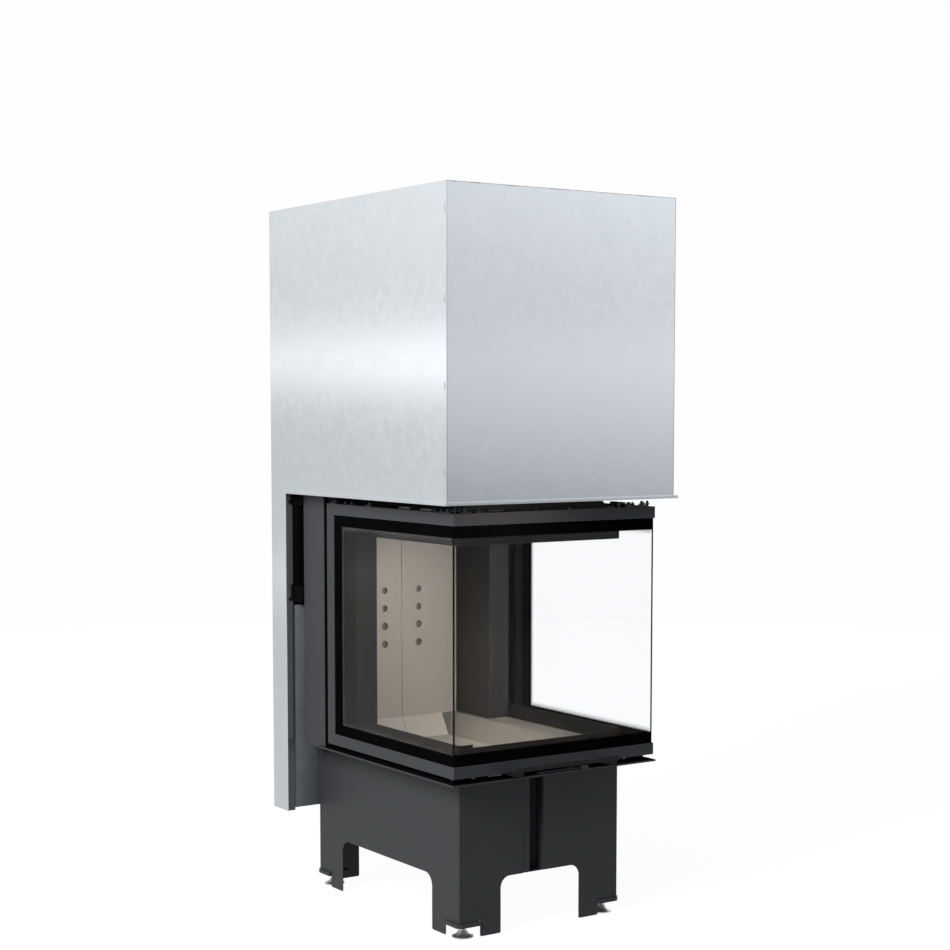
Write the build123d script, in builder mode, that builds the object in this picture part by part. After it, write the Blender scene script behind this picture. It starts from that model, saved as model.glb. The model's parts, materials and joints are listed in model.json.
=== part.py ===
"""Three-sided wood-burning fireplace insert with a lift door. Lengths are in millimetres.

X runs across the front, Y runs back and Z runs up. The origin is under the middle of the whole
insert, on the floor. Places along Y are given as depths behind the door's front face.
"""
from build123d import *
import os

os.makedirs("parts", exist_ok=True)

# Overall sizes
overall_height = 1640.0
overall_width = 632.0
casing_reach = 757.0
handle_reach = 44.0

# Clearances and overruns
seat_gap = 0.3
running_gap = 0.05
cut_over = 5.0

# Door
door_height = 571.0
door_lift_gap = 12.0
door_guide_gap = 15.0
bar_height = 26.5
bar_depth = 13.3
side_frame_depth = 33.0
side_frame_width = 24.0
side_frame_wall = 3.0
side_frame_block = 13.0
glass_wall = 4.0
glass_inset = 3.0
glass_seat = 9.7

# Door handle
handle_width = 280.0
handle_bar_height = 10.0
handle_bar_depth = 6.0
handle_rise = 8.0
handle_leg_width = 23.0
handle_leg_wall = 2.0
handle_leg_grip = 12.0
handle_edge = 1.0

# Clamps on the door's top bar
clamp_length = 26.0
clamp_width = 11.0
clamp_wall = 3.0
clamp_bolt_radius = 4.0
clamp_bolt_height = 6.0
clamp_inset = 8.0
clamp_corner_pitch = 36.0
clamp_side_share = 0.66

# Firebox body
body_margin = 55.0
body_front = 62.0
body_casing_gap = 1.0
body_wall = 3.0

# Base
base_top = 359.0
base_wall = 2.0
base_bend = 2.5
base_tab_bottom = 1.5
base_notch_top = 37.0
base_notch_width = 56.0
base_tab_width = 55.0
base_tab_corner = 4.0
side_arch_top = 127.5
side_arch_radius = 28.0
front_arch_top = 128.3
front_arch_radius = 25.0
slot_left_edge = 28.0
slot_right_edge = 7.5
slot_depth = 30.0
strip_width = 22.0
strip_lap = 12.0
strip_bend = 2.5

# Levelling feet and the plates that they screw into
foot_inset = 26.0
foot_radius = 24.5
foot_rim = 3.0
foot_cone_height = 20.0
foot_neck_radius = 7.0
foot_neck_top = 26.0
foot_sag = 3.5
spindle_radius = 5.0
spindle_top = 74.0
foot_plate_wall = 9.4
foot_plate_overhang = 5.0
foot_plate_end_gap = 2.0
foot_plate_chamfer = 9.0
foot_nut_height = 10.0
foot_nut_radius = 10.0

# Ledge plate under the door
ledge_wall = 4.0
ledge_side_overhang = 4.0
ledge_front_overhang = 4.0
ledge_back_lap = 27.0

# Firebox pan and hearth
pan_wall = 3.0
pan_drop = 43.0
pan_side_gap = 15.0
pan_front = 100.0
pan_back_gap = 10.0
pan_flange_gap = 0.5
hearth_rise = 33.0
hearth_floor_wall = 24.0
basin_rim = 70.0
basin_front = 133.0
basin_slope_run = 31.0
hearth_joint_share = 0.491
brick_gap = 1.2

# Sill rail, columns, rear wall and lintel
sill_front_rise = 28.0
sill_side_rise = 35.0
sill_corner_reach = 33.0
column_lead = 43.0
column_width = 59.0
column_bend = 4.0
panel_wall = 25.0
panel_setback = 33.7
panel_hole_spacing = 99.0
panel_hole_depth = 12.0
panel_holes = ((319.0, 8.0), (274.5, 8.0), (230.0, 9.0), (185.0, 9.0))
lintel_drop = 75.0
lintel_height = 34.0
lintel_flange = 25.0

# Baffle, smoke dome and flue collar
baffle_wall = 25.0
baffle_side_gap = 22.0
baffle_front = 84.0
baffle_back_gap = 164.0
dome_height = 325.0
dome_radius = 95.0
flue_depth = 310.0
collar_bore = 90.5
collar_wall = 3.0
collar_height = 60.0
collar_flange_radius = 102.0

# Air box, spigot and air lever
air_box_width = 200.0
air_box_front = 240.0
air_box_length = 200.0
air_box_height = 50.0
spigot_radius = 62.5
spigot_wall = 1.5
spigot_height = 60.0
lever_left = 47.0
lever_right = 69.0
lever_front = 3.0
lever_depth = 12.0
lever_wall = 2.5
grip_width = 16.0
grip_front = -4.0
grip_height = 7.0
tongue_width = 14.0
tongue_back = 80.0
lever_pin_radius = 3.0
lever_pin_length = 16.0
lever_travel = 40.0

# Guide columns, rails, carriages and rollers
guide_depth = 99.0
guide_wall = 2.0
guide_lip = 13.0
guide_bend = 3.0
guide_top_gap = 70.0
rail_rise = 21.0
rail_overrun = 40.0
rail_wall = 2.0
rail_reach = 19.0
roller_setback = 43.0
roller_radius = 15.0
roller_width = 10.0
roller_gap = 0.3
roller_rise = 30.0
roller_drop = 40.0
roller_names = ("lower", "upper")
axle_radius = 5.0
axle_shoulder_radius = 8.0
axle_end = 3.0
carriage_wall = 3.0
carriage_inset = 29.0
carriage_foot_width = 24.0
carriage_rise = 195.0
carriage_drop = 56.0
carriage_overhang = 19.0
lift_clearance = 120.0

# Lift shaft, pulleys and cables
shaft_drop = 70.0
shaft_radius = 8.0
shaft_end = 3.0
pulley_rim = 6.0
pulley_width = 16.0
pulley_web = 6.0
pulley_hub_radius = 16.0
pulley_rim_wall = 9.0
pulley_holes = 5
pulley_hole_radius = 11.0
cable_radius = 2.0
bracket_wall = 3.0
bracket_clearance = 20.0
bracket_radius = 30.0
bracket_setback = 45.0
bearing_radius = 14.0
bearing_length = 7.0

# Rear casing, counterweights and ties
casing_margin = 33.0
casing_depth = 72.0
casing_bottom = 190.0
casing_wall = 1.0
casing_flange = 21.0
casing_bend = 2.0
weight_width = 80.0
weight_gap = 7.0
weight_clearance = 11.0
weight_height = 291.0
weight_edge = 3.0
weight_eye_radius = 8.0
weight_eye_height = 14.0
tie_wall = 3.0
tie_foot = 30.0
tie_jog = 26.0
tie_side_gap = 2.0
tie_height = 40.0
tie_bend = 4.0
tie_run = 28.0
tie_shares = (0.299, 0.505, 0.939)

# Hood
hood_gap = 19.0
hood_front_reach = 24.3
hood_lap = 8.0
hood_wall = 1.0
hood_flange = 16.0
hood_bend = 2.0
hood_slot_height = 17.0
hood_slot_width = 3.5
hood_slot_setback = 6.0
hood_slot_shares = (0.102, 0.372, 0.641, 0.917)
lip_size = 7.0
lip_wall = 1.0
lip_lap = 18.0
top_frame_width = 30.0
top_tab_width = 24.0
top_tab_spacing = 226.0
top_tabs = 3
hood_bracket_wall = 2.0
hood_bracket_setback = 12.0
hood_bracket_foot = 24.0
hood_bracket_run = 22.0
hood_bracket_height = 40.0
hood_bracket_bend = 3.0
hood_bracket_shares = (0.252, 0.85)

# Sheet screws
screw_head_radius = 4.0
screw_head_height = 2.0
strip_screw_heights = (195.0, 334.0)
casing_screw_rise = 8.5

# Heights worked out from the sizes above
ledge_top = base_top + ledge_wall
pan_bottom = ledge_top - pan_drop
pan_flange_top = ledge_top + pan_wall
hearth_rim = pan_flange_top + hearth_rise
hearth_floor_top = pan_bottom + pan_wall + hearth_floor_wall
sill_front_top = hearth_rim + sill_front_rise
sill_side_top = hearth_rim + sill_side_rise
door_bottom = ledge_top + door_lift_gap
door_top = door_bottom + door_height
handle_bottom = door_bottom + handle_rise
lintel_bottom = door_top - lintel_drop
lintel_top = lintel_bottom + lintel_height
dome_top = lintel_top + dome_height
hood_bottom = door_top + hood_gap
hood_height = overall_height - hood_bottom
hood_slot_heights = [hood_bottom + share * hood_height for share in hood_slot_shares]
shaft_height = overall_height - shaft_drop
guide_top = shaft_height - guide_top_gap
tie_heights = [base_top + share * (guide_top - base_top) for share in tie_shares]
hood_bracket_heights = [hood_bottom + share * (guide_top - hood_bottom) for share in hood_bracket_shares]
casing_screw_heights = [height + casing_screw_rise for height in tie_heights[:-1]]
carriage_bottom = door_bottom + carriage_rise
carriage_top = door_top - carriage_drop
roller_heights = (carriage_bottom + roller_rise, carriage_top - roller_drop)
lift_travel = guide_top - carriage_top - lift_clearance
rail_bottom = base_top + rail_rise
rail_top = roller_heights[-1] + lift_travel + roller_radius + rail_overrun
bracket_bottom = carriage_top + lift_travel + bracket_clearance
weight_bottom = casing_bottom + lift_travel + weight_clearance
foot_plate_bottom = base_notch_top - seat_gap - foot_plate_wall

# Widths worked out from the sizes above
hood_half = overall_width / 2 - lip_size
casing_half = hood_half - hood_wall
door_half = casing_half - casing_margin
body_half = door_half - body_margin
ledge_half = door_half + ledge_side_overhang
pan_half_width = body_half - pan_side_gap
pan_flange_half = body_half - body_wall - pan_flange_gap
basin_half_width = body_half - basin_rim
column_inner = body_half - column_width
panel_half_width = column_inner - seat_gap
baffle_half_width = body_half - baffle_side_gap
guide_inner = door_half - guide_wall
carriage_web_inner = door_half - carriage_inset
carriage_line = carriage_web_inner + carriage_wall / 2
tie_inner = door_half - tie_foot
tie_mid = casing_half - tie_jog
tie_outer = casing_half - tie_side_gap
tongue_line = lever_right - tongue_width / 2
tongue_slot_left = tongue_line - lever_travel - tongue_width
tongue_slot_right = tongue_line + tongue_width

# Depths worked out from the sizes above
casing_front = casing_reach - casing_depth
body_back = casing_front - body_casing_gap
guide_back = casing_front - tie_run
guide_front = guide_back - guide_depth
door_depth = guide_front - door_guide_gap
ledge_back = guide_front + ledge_back_lap
column_front = door_depth - column_lead
panel_front = body_back - panel_setback
rear_wall_front = panel_front + panel_wall
rear_wall_back = rear_wall_front + body_wall
pan_flange_front = body_front + body_wall + pan_flange_gap
pan_back = panel_front - pan_back_gap
basin_back = panel_front - seat_gap
hearth_joint = basin_front + hearth_joint_share * (basin_back - basin_front)
baffle_back = body_back - baffle_back_gap
air_box_back = air_box_front + air_box_length
roller_depth = guide_front + roller_setback
carriage_back = roller_depth + carriage_overhang
bracket_front = guide_front + bracket_setback
weight_depth_line = casing_reach - casing_depth / 2
weight_depth = casing_depth - 2 * weight_gap
shaft_depth = (roller_depth + weight_depth_line) / 2
pulley_radius = shaft_depth - roller_depth
hood_back = casing_front + hood_lap
lip_back = casing_front + lip_lap
hood_bracket_front = guide_front + hood_bracket_setback


def y_at(depth):
    """Y coordinate of a plane this far behind the door's front face."""
    return depth - (casing_reach - handle_reach) / 2


def span(x_low, x_high, y_low, y_high, mode=Mode.ADD):
    """Rectangle between four edges, in the current sketch."""
    with Locations(((x_low + x_high) / 2, (y_low + y_high) / 2)):
        Rectangle(x_high - x_low, y_high - y_low, mode=mode)


def band(half, front, back, wall):
    """Plan of a three-sided band that is open at the back, in the current sketch."""
    span(-half, half, y_at(front), y_at(back))
    span(-half + wall, half - wall, y_at(front + wall), y_at(back + cut_over), Mode.SUBTRACT)


def inward(side):
    """Side of a path that runs from the front round to the back and points into the insert."""
    return Side.LEFT if side > 0 else Side.RIGHT


def finish(piece, name):
    """Label a finished piece and write it to its own file."""
    piece.part.label = name
    export_step(piece.part, f"parts/{name}.step")


def make_base_shells():
    """Two bent half shells with arches and foot notches, and the channel in the slot between them."""
    front = y_at(body_front)
    back = y_at(body_back)
    corner_reach = base_wall + base_bend
    for name, side, edge in (("left", -1, slot_left_edge + strip_width), ("right", 1, slot_right_edge)):
        with BuildPart() as shell:
            with BuildSketch(Plane.XY.offset(base_tab_bottom)):
                with BuildLine():
                    FilletPolyline(
                        (side * edge, front),
                        (side * body_half, front),
                        (side * body_half, back),
                        (side * seat_gap / 2, back),
                        radius=base_bend,
                    )
                    offset(amount=base_wall, side=inward(side))
                make_face()
            extrude(amount=base_top - base_tab_bottom)
            leg = base_notch_width + base_tab_width
            with BuildSketch(Plane.YZ.offset(side * body_half)) as side_cut:
                span(front + leg, back - leg, -cut_over, side_arch_top)
                fillet(side_cut.vertices().group_by(Axis.Y)[-1], radius=side_arch_radius)
                span(front - cut_over, front + base_notch_width, -cut_over, base_notch_top)
                span(back - base_notch_width, back + cut_over, -cut_over, base_notch_top)
            extrude(amount=corner_reach, both=True, mode=Mode.SUBTRACT)
            for wall_y in (front, back):
                with BuildSketch(Plane.XZ.offset(-wall_y)) as end_cut:
                    span(-body_half + leg, body_half - leg, -cut_over, front_arch_top)
                    fillet(end_cut.vertices().group_by(Axis.Y)[-1], radius=front_arch_radius)
                    for low in (-body_half - cut_over, body_half - base_notch_width):
                        span(low, low + base_notch_width + cut_over, -cut_over, base_notch_top)
                extrude(amount=corner_reach, both=True, mode=Mode.SUBTRACT)
            tab_edges = shell.edges().group_by(Axis.Z)[0]
            fillet([edge for edge in tab_edges if edge.length < 2 * base_wall], radius=base_tab_corner)
        finish(shell, f"base_{name}_shell")
    face = front + base_wall
    with BuildPart() as channel:
        with BuildSketch(Plane.XY.offset(front_arch_top)):
            with BuildLine():
                FilletPolyline(
                    (-slot_left_edge - strip_width - strip_lap, face),
                    (-slot_left_edge, face),
                    (-slot_left_edge, face + slot_depth),
                    (slot_right_edge, face + slot_depth),
                    (slot_right_edge, face),
                    (slot_right_edge + strip_lap, face),
                    radius=strip_bend,
                )
                offset(amount=base_wall, side=Side.LEFT)
            make_face()
        extrude(amount=base_top - front_arch_top)
        with BuildSketch(Plane.XY.offset(front_arch_top)):
            span(-slot_left_edge, slot_right_edge, face, face + slot_depth)
        extrude(amount=base_wall)
    finish(channel, "base_slot_channel")


def make_feet():
    """Four corner plates that carry the base's corners, and the four levelling feet that screw into them."""
    foot_x = body_half - foot_inset
    foot_front = y_at(body_front + foot_inset)
    foot_back = y_at(body_back - foot_inset)
    corners = [(side, end) for end in (-1, 1) for side in (-1, 1)]
    spots = [(side * foot_x, foot_front if end < 0 else foot_back) for side, end in corners]
    plate_inner = body_half - base_notch_width + foot_plate_end_gap
    plate_outer = body_half + foot_plate_overhang
    plate_run = plate_outer - plate_inner
    with BuildPart() as brackets:
        for side, end in corners:
            outer_y = y_at(body_front - foot_plate_overhang if end < 0 else body_back + foot_plate_overhang)
            with BuildSketch(Plane.XY.offset(foot_plate_bottom)) as plate:
                low, high = sorted((side * plate_inner, side * plate_outer))
                front, back = sorted((outer_y, outer_y - end * plate_run))
                span(low, high, front, back)
                corner = plate.vertices().sort_by_distance((side * plate_outer, outer_y))[0]
                chamfer(corner, length=foot_plate_chamfer)
            extrude(amount=foot_plate_wall)
        with BuildSketch(Plane.XY.offset(foot_plate_bottom + foot_plate_wall)):
            with Locations(*spots):
                RegularPolygon(radius=foot_nut_radius, side_count=6)
        extrude(amount=foot_nut_height)
        with BuildSketch(Plane.XY.offset(foot_plate_bottom)):
            with Locations(*spots):
                Circle(spindle_radius + running_gap)
        extrude(amount=foot_plate_wall + foot_nut_height, mode=Mode.SUBTRACT)
    finish(brackets, "foot_brackets")
    for (side, end), (x, y) in zip(corners, spots):
        with BuildPart() as foot:
            with BuildSketch(Plane(origin=(x, y, 0), x_dir=(1, 0, 0), z_dir=(0, -1, 0))):
                with BuildLine():
                    Polyline((0, 0), (foot_radius, 0), (foot_radius, foot_rim))
                    SagittaArc((foot_radius, foot_rim), (foot_neck_radius, foot_cone_height), -foot_sag)
                    Polyline(
                        (foot_neck_radius, foot_cone_height),
                        (foot_neck_radius, foot_neck_top),
                        (spindle_radius, foot_neck_top),
                        (spindle_radius, spindle_top),
                        (0, spindle_top),
                        (0, 0),
                    )
                make_face()
            revolve(axis=Axis((x, y, 0), (0, 0, 1)))
        row = "front" if end < 0 else "rear"
        column = "left" if side < 0 else "right"
        finish(foot, f"foot_{row}_{column}")


def make_ledge_and_pan():
    """Ledge plate on the base, firebox pan hung in it, and the sill rail round the hearth."""
    lever_slot_back = tongue_back + seat_gap
    with BuildPart() as ledge:
        with BuildSketch(Plane.XY.offset(base_top)):
            span(-ledge_half, ledge_half, y_at(-ledge_front_overhang), y_at(ledge_back))
            span(-body_half, body_half, y_at(ledge_back), y_at(body_back))
            span(
                -pan_half_width - seat_gap,
                pan_half_width + seat_gap,
                y_at(pan_front - seat_gap),
                y_at(pan_back + seat_gap),
                Mode.SUBTRACT,
            )
            with Locations((tongue_line - lever_travel / 2, y_at(tongue_back - tongue_width / 2))):
                SlotCenterToCenter(
                    lever_travel, 2 * (lever_pin_radius + seat_gap), mode=Mode.SUBTRACT
                )
        extrude(amount=ledge_wall)
    finish(ledge, "ledge_plate")
    with BuildPart() as pan:
        with BuildSketch(Plane.XY.offset(ledge_top)):
            span(-pan_flange_half, pan_flange_half, y_at(pan_flange_front), y_at(panel_front + panel_wall))
            span(
                tongue_slot_left,
                tongue_slot_right,
                y_at(pan_flange_front - cut_over),
                y_at(lever_slot_back),
                Mode.SUBTRACT,
            )
        extrude(amount=pan_wall)
        with BuildSketch(Plane.XY.offset(pan_bottom)):
            span(-pan_half_width, pan_half_width, y_at(pan_front), y_at(pan_back))
        extrude(amount=pan_flange_top - pan_bottom)
        with BuildSketch(Plane.XY.offset(pan_bottom + pan_wall)):
            span(
                -pan_half_width + pan_wall,
                pan_half_width - pan_wall,
                y_at(pan_front + pan_wall),
                y_at(pan_back - pan_wall),
            )
        extrude(amount=pan_flange_top - pan_bottom, mode=Mode.SUBTRACT)
    finish(pan, "firebox_pan")
    with BuildPart() as sill:
        with BuildSketch(Plane.XY.offset(ledge_top)):
            band(body_half, body_front, rear_wall_front - seat_gap, body_wall)
        extrude(amount=hearth_rim - ledge_top)
        with BuildSketch(Plane.XY.offset(hearth_rim)):
            band(body_half, body_front, column_front - seat_gap, body_wall)
        extrude(amount=sill_front_top - hearth_rim)
        with BuildSketch(Plane.XY.offset(sill_front_top)):
            band(body_half, body_front, column_front - seat_gap, body_wall)
            span(
                -body_half + body_wall + sill_corner_reach,
                body_half - body_wall - sill_corner_reach,
                y_at(body_front - cut_over),
                y_at(body_front + body_wall + cut_over),
                Mode.SUBTRACT,
            )
        extrude(amount=sill_side_top - sill_front_top)
        with BuildSketch(Plane.XY.offset(ledge_top)):
            span(
                tongue_slot_left,
                tongue_slot_right,
                y_at(body_front - cut_over),
                y_at(body_front + body_wall + cut_over),
            )
        extrude(amount=lever_wall + 2 * seat_gap, mode=Mode.SUBTRACT)
    finish(sill, "sill_rail")


def make_hearth():
    """Ceramic floor and stepped bricks that form a sunken basin with sloped sides."""
    foot_x = basin_half_width - basin_slope_run
    foot_front = basin_front + basin_slope_run
    foot_back = basin_back - basin_slope_run
    inner_half = pan_half_width - pan_wall - seat_gap
    inner_front = pan_front + pan_wall + seat_gap
    inner_back = pan_back - pan_wall - seat_gap
    brick_front = body_front + body_wall + seat_gap
    brick_bottom = pan_bottom + pan_wall
    half_gap = brick_gap / 2
    bricks = {
        "hearth_front": [(-pan_flange_half, pan_flange_half, brick_front, foot_front - half_gap)],
        "hearth_back": [
            (-foot_x + half_gap, -half_gap, foot_back + half_gap, basin_back),
            (half_gap, foot_x - half_gap, foot_back + half_gap, basin_back),
        ],
        "hearth_left": [
            (-pan_flange_half, -foot_x - half_gap, foot_front + half_gap, hearth_joint - half_gap),
            (-pan_flange_half, -foot_x - half_gap, hearth_joint + half_gap, basin_back),
        ],
        "hearth_right": [
            (foot_x + half_gap, pan_flange_half, foot_front + half_gap, hearth_joint - half_gap),
            (foot_x + half_gap, pan_flange_half, hearth_joint + half_gap, basin_back),
        ],
    }
    for name, plans in bricks.items():
        with BuildPart() as brick:
            for low, high, front, back in plans:
                with BuildSketch(Plane.XY.offset(pan_flange_top)):
                    span(low, high, y_at(front), y_at(back))
                extrude(amount=hearth_rim - pan_flange_top)
                with BuildSketch(Plane.XY.offset(brick_bottom)):
                    span(
                        max(low, -inner_half),
                        min(high, inner_half),
                        y_at(max(front, inner_front)),
                        y_at(min(back, inner_back)),
                    )
                extrude(amount=pan_flange_top - brick_bottom)
            with BuildSketch(Plane.XY.offset(hearth_floor_top)):
                span(-foot_x, foot_x, y_at(foot_front), y_at(foot_back))
            with BuildSketch(Plane.XY.offset(hearth_rim)):
                span(-basin_half_width, basin_half_width, y_at(basin_front), y_at(basin_back))
            loft(mode=Mode.SUBTRACT)
        finish(brick, name)
    with BuildPart() as floor:
        with BuildSketch(Plane.XY.offset(brick_bottom)):
            span(
                -foot_x + half_gap, foot_x - half_gap, y_at(foot_front + half_gap), y_at(foot_back - half_gap)
            )
        extrude(amount=hearth_floor_top - brick_bottom)
    finish(floor, "hearth_floor")


def make_firebox():
    """Rear columns, rear wall, ceramic back panels, lintel frame, baffle, dome and flue collar."""
    for name, side in (("left", -1), ("right", 1)):
        with BuildPart() as column:
            with BuildSketch(Plane.XY.offset(hearth_rim)):
                with BuildLine():
                    FilletPolyline(
                        (side * column_inner, y_at(rear_wall_front)),
                        (side * column_inner, y_at(column_front)),
                        (side * body_half, y_at(column_front)),
                        (side * body_half, y_at(rear_wall_front)),
                        radius=column_bend,
                    )
                    offset(amount=body_wall, side=inward(side))
                make_face()
            extrude(amount=lintel_bottom - hearth_rim)
        finish(column, f"column_{name}")
    with BuildPart() as panels:
        for side in (-1, 1):
            with BuildSketch(Plane.XY.offset(pan_flange_top)):
                low, high = sorted((side * brick_gap / 2, side * panel_half_width))
                span(low, high, y_at(panel_front), y_at(panel_front + panel_wall))
            extrude(amount=lintel_top - body_wall - seat_gap - pan_flange_top)
        with BuildSketch(Plane.XZ.offset(-y_at(panel_front))):
            for height, radius in panel_holes:
                with GridLocations(panel_hole_spacing, 0, 2, 1):
                    with Locations((0, hearth_rim + height)):
                        Circle(radius)
        extrude(amount=-panel_hole_depth, mode=Mode.SUBTRACT)
    finish(panels, "back_panels")
    with BuildPart() as rear_wall:
        with BuildSketch(Plane.XY.offset(ledge_top)):
            span(-body_half, body_half, y_at(rear_wall_front), y_at(rear_wall_back))
        extrude(amount=lintel_bottom - ledge_top)
    finish(rear_wall, "rear_wall")
    with BuildPart() as lintel:
        with BuildSketch(Plane.XY.offset(lintel_bottom)):
            span(-body_half, body_half, y_at(body_front), y_at(rear_wall_back))
            span(
                -body_half + body_wall,
                body_half - body_wall,
                y_at(body_front + body_wall),
                y_at(rear_wall_front),
                Mode.SUBTRACT,
            )
        extrude(amount=lintel_top - lintel_bottom)
        with BuildSketch(Plane.XY.offset(lintel_top - body_wall)):
            span(-body_half, body_half, y_at(body_front), y_at(rear_wall_back))
            reach = body_wall + lintel_flange
            span(
                -body_half + reach,
                body_half - reach,
                y_at(body_front + reach),
                y_at(rear_wall_back - reach),
                Mode.SUBTRACT,
            )
        extrude(amount=body_wall)
    finish(lintel, "lintel_frame")
    with BuildPart() as baffle:
        with BuildSketch(Plane.XY.offset(lintel_top)):
            span(-baffle_half_width, baffle_half_width, y_at(baffle_front), y_at(baffle_back))
        extrude(amount=baffle_wall)
    finish(baffle, "baffle_plate")
    with BuildPart() as dome:
        for inset, mode in ((0.0, Mode.ADD), (body_wall, Mode.SUBTRACT)):
            with BuildSketch(Plane.XY.offset(lintel_top)):
                span(
                    -body_half + inset,
                    body_half - inset,
                    y_at(body_front + inset),
                    y_at(rear_wall_back - inset),
                )
            with BuildSketch(Plane.XY.offset(dome_top)):
                with Locations((0, y_at(flue_depth))):
                    Circle(dome_radius - inset)
            loft(mode=mode)
    finish(dome, "smoke_dome")
    with BuildPart() as collar:
        with BuildSketch(Plane.XY.offset(dome_top)):
            with Locations((0, y_at(flue_depth))):
                Circle(collar_flange_radius)
                Circle(collar_bore, mode=Mode.SUBTRACT)
        extrude(amount=collar_wall)
        with BuildSketch(Plane.XY.offset(dome_top)):
            with Locations((0, y_at(flue_depth))):
                Circle(collar_bore + collar_wall)
                Circle(collar_bore, mode=Mode.SUBTRACT)
        extrude(amount=collar_height)
    finish(collar, "flue_collar")


def make_air_parts():
    """Air box with its spigot under the pan, and the lever that slides under the door."""
    spot = (0, y_at((air_box_front + air_box_back) / 2))
    box_bottom = pan_bottom - air_box_height
    with BuildPart() as air_box:
        with BuildSketch(Plane.XY.offset(box_bottom)):
            span(-air_box_width / 2, air_box_width / 2, y_at(air_box_front), y_at(air_box_back))
        extrude(amount=air_box_height)
        with BuildSketch(Plane.XY.offset(box_bottom - spigot_height)):
            with Locations(spot):
                Circle(spigot_radius)
        extrude(amount=spigot_height)
        with BuildSketch(Plane.XY.offset(box_bottom + spigot_wall)):
            span(
                -air_box_width / 2 + spigot_wall,
                air_box_width / 2 - spigot_wall,
                y_at(air_box_front + spigot_wall),
                y_at(air_box_back - spigot_wall),
            )
        extrude(amount=air_box_height, mode=Mode.SUBTRACT)
        with BuildSketch(Plane.XY.offset(box_bottom - spigot_height)):
            with Locations(spot):
                Circle(spigot_radius - spigot_wall)
        extrude(amount=spigot_height + air_box_height, mode=Mode.SUBTRACT)
    finish(air_box, "air_box")
    bottom = ledge_top + seat_gap
    with BuildPart() as lever:
        with BuildSketch(Plane.XY.offset(bottom)):
            span(-lever_left, lever_right, y_at(lever_front), y_at(lever_front + lever_depth))
            span(lever_right - tongue_width, lever_right, y_at(lever_front), y_at(tongue_back))
        extrude(amount=lever_wall)
        with BuildSketch(Plane.XY.offset(bottom)):
            span(lever_right, lever_right + grip_width, y_at(grip_front), y_at(lever_front + lever_depth))
        extrude(amount=grip_height)
        with BuildSketch(Plane.XY.offset(bottom)):
            with Locations((tongue_line, y_at(tongue_back - tongue_width / 2))):
                Circle(lever_pin_radius)
        extrude(amount=-lever_pin_length)
    finish(lever, "air_lever")


def make_guides():
    """Guide columns with their rails, and the ties and brackets that carry the casing and hood."""
    for name, side in (("left", -1), ("right", 1)):
        with BuildPart() as guide:
            with BuildSketch(Plane.XY.offset(base_top)):
                with BuildLine():
                    FilletPolyline(
                        (side * (door_half - guide_lip), y_at(guide_front)),
                        (side * door_half, y_at(guide_front)),
                        (side * door_half, y_at(guide_back)),
                        (side * body_half, y_at(guide_back)),
                        radius=guide_bend,
                    )
                    offset(amount=guide_wall, side=inward(side))
                make_face()
            extrude(amount=guide_top - base_top)
            with BuildSketch(Plane.XY.offset(base_top - cut_over)):
                low, high = sorted((side * body_half, side * (door_half + cut_over)))
                span(low, high, y_at(guide_front - cut_over), y_at(ledge_back + seat_gap))
            extrude(amount=cut_over + ledge_wall + seat_gap, mode=Mode.SUBTRACT)
        finish(guide, f"guide_column_{name}")
    half_track = roller_radius + roller_gap + rail_wall
    with BuildPart() as rails:
        for side in (-1, 1):
            with BuildSketch(Plane.XY.offset(rail_bottom)):
                with BuildLine():
                    Polyline(
                        (side * (guide_inner - rail_reach), y_at(roller_depth - half_track)),
                        (side * guide_inner, y_at(roller_depth - half_track)),
                        (side * guide_inner, y_at(roller_depth + half_track)),
                        (side * (guide_inner - rail_reach), y_at(roller_depth + half_track)),
                    )
                    offset(amount=rail_wall, side=inward(side), kind=Kind.INTERSECTION)
                make_face()
            extrude(amount=rail_top - rail_bottom)
    finish(rails, "guide_rails")
    with BuildPart() as ties:
        for side in (-1, 1):
            for height in tie_heights:
                with BuildSketch(Plane.XY.offset(height)):
                    with BuildLine():
                        FilletPolyline(
                            (side * tie_inner, y_at(guide_back)),
                            (side * tie_mid, y_at(guide_back)),
                            (side * tie_mid, y_at(casing_front + casing_wall)),
                            (side * tie_outer, y_at(casing_front + casing_wall)),
                            radius=tie_bend,
                        )
                        offset(amount=tie_wall, side=inward(side))
                    make_face()
                extrude(amount=tie_height)
    finish(ties, "casing_ties")
    foot_back = hood_bracket_front + hood_bracket_foot
    run_back = foot_back + hood_bracket_run
    outer = casing_half - hood_bracket_wall
    with BuildPart() as brackets:
        for side in (-1, 1):
            for height in hood_bracket_heights:
                with BuildSketch(Plane.XY.offset(height)):
                    with BuildLine():
                        FilletPolyline(
                            (side * outer, y_at(hood_bracket_front)),
                            (side * outer, y_at(foot_back)),
                            (side * door_half, y_at(run_back)),
                            (side * door_half, y_at(run_back + hood_bracket_foot)),
                            radius=hood_bracket_bend,
                        )
                        offset(amount=hood_bracket_wall, side=inward(-side))
                    make_face()
                extrude(amount=hood_bracket_height)
    finish(brackets, "hood_brackets")


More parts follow.
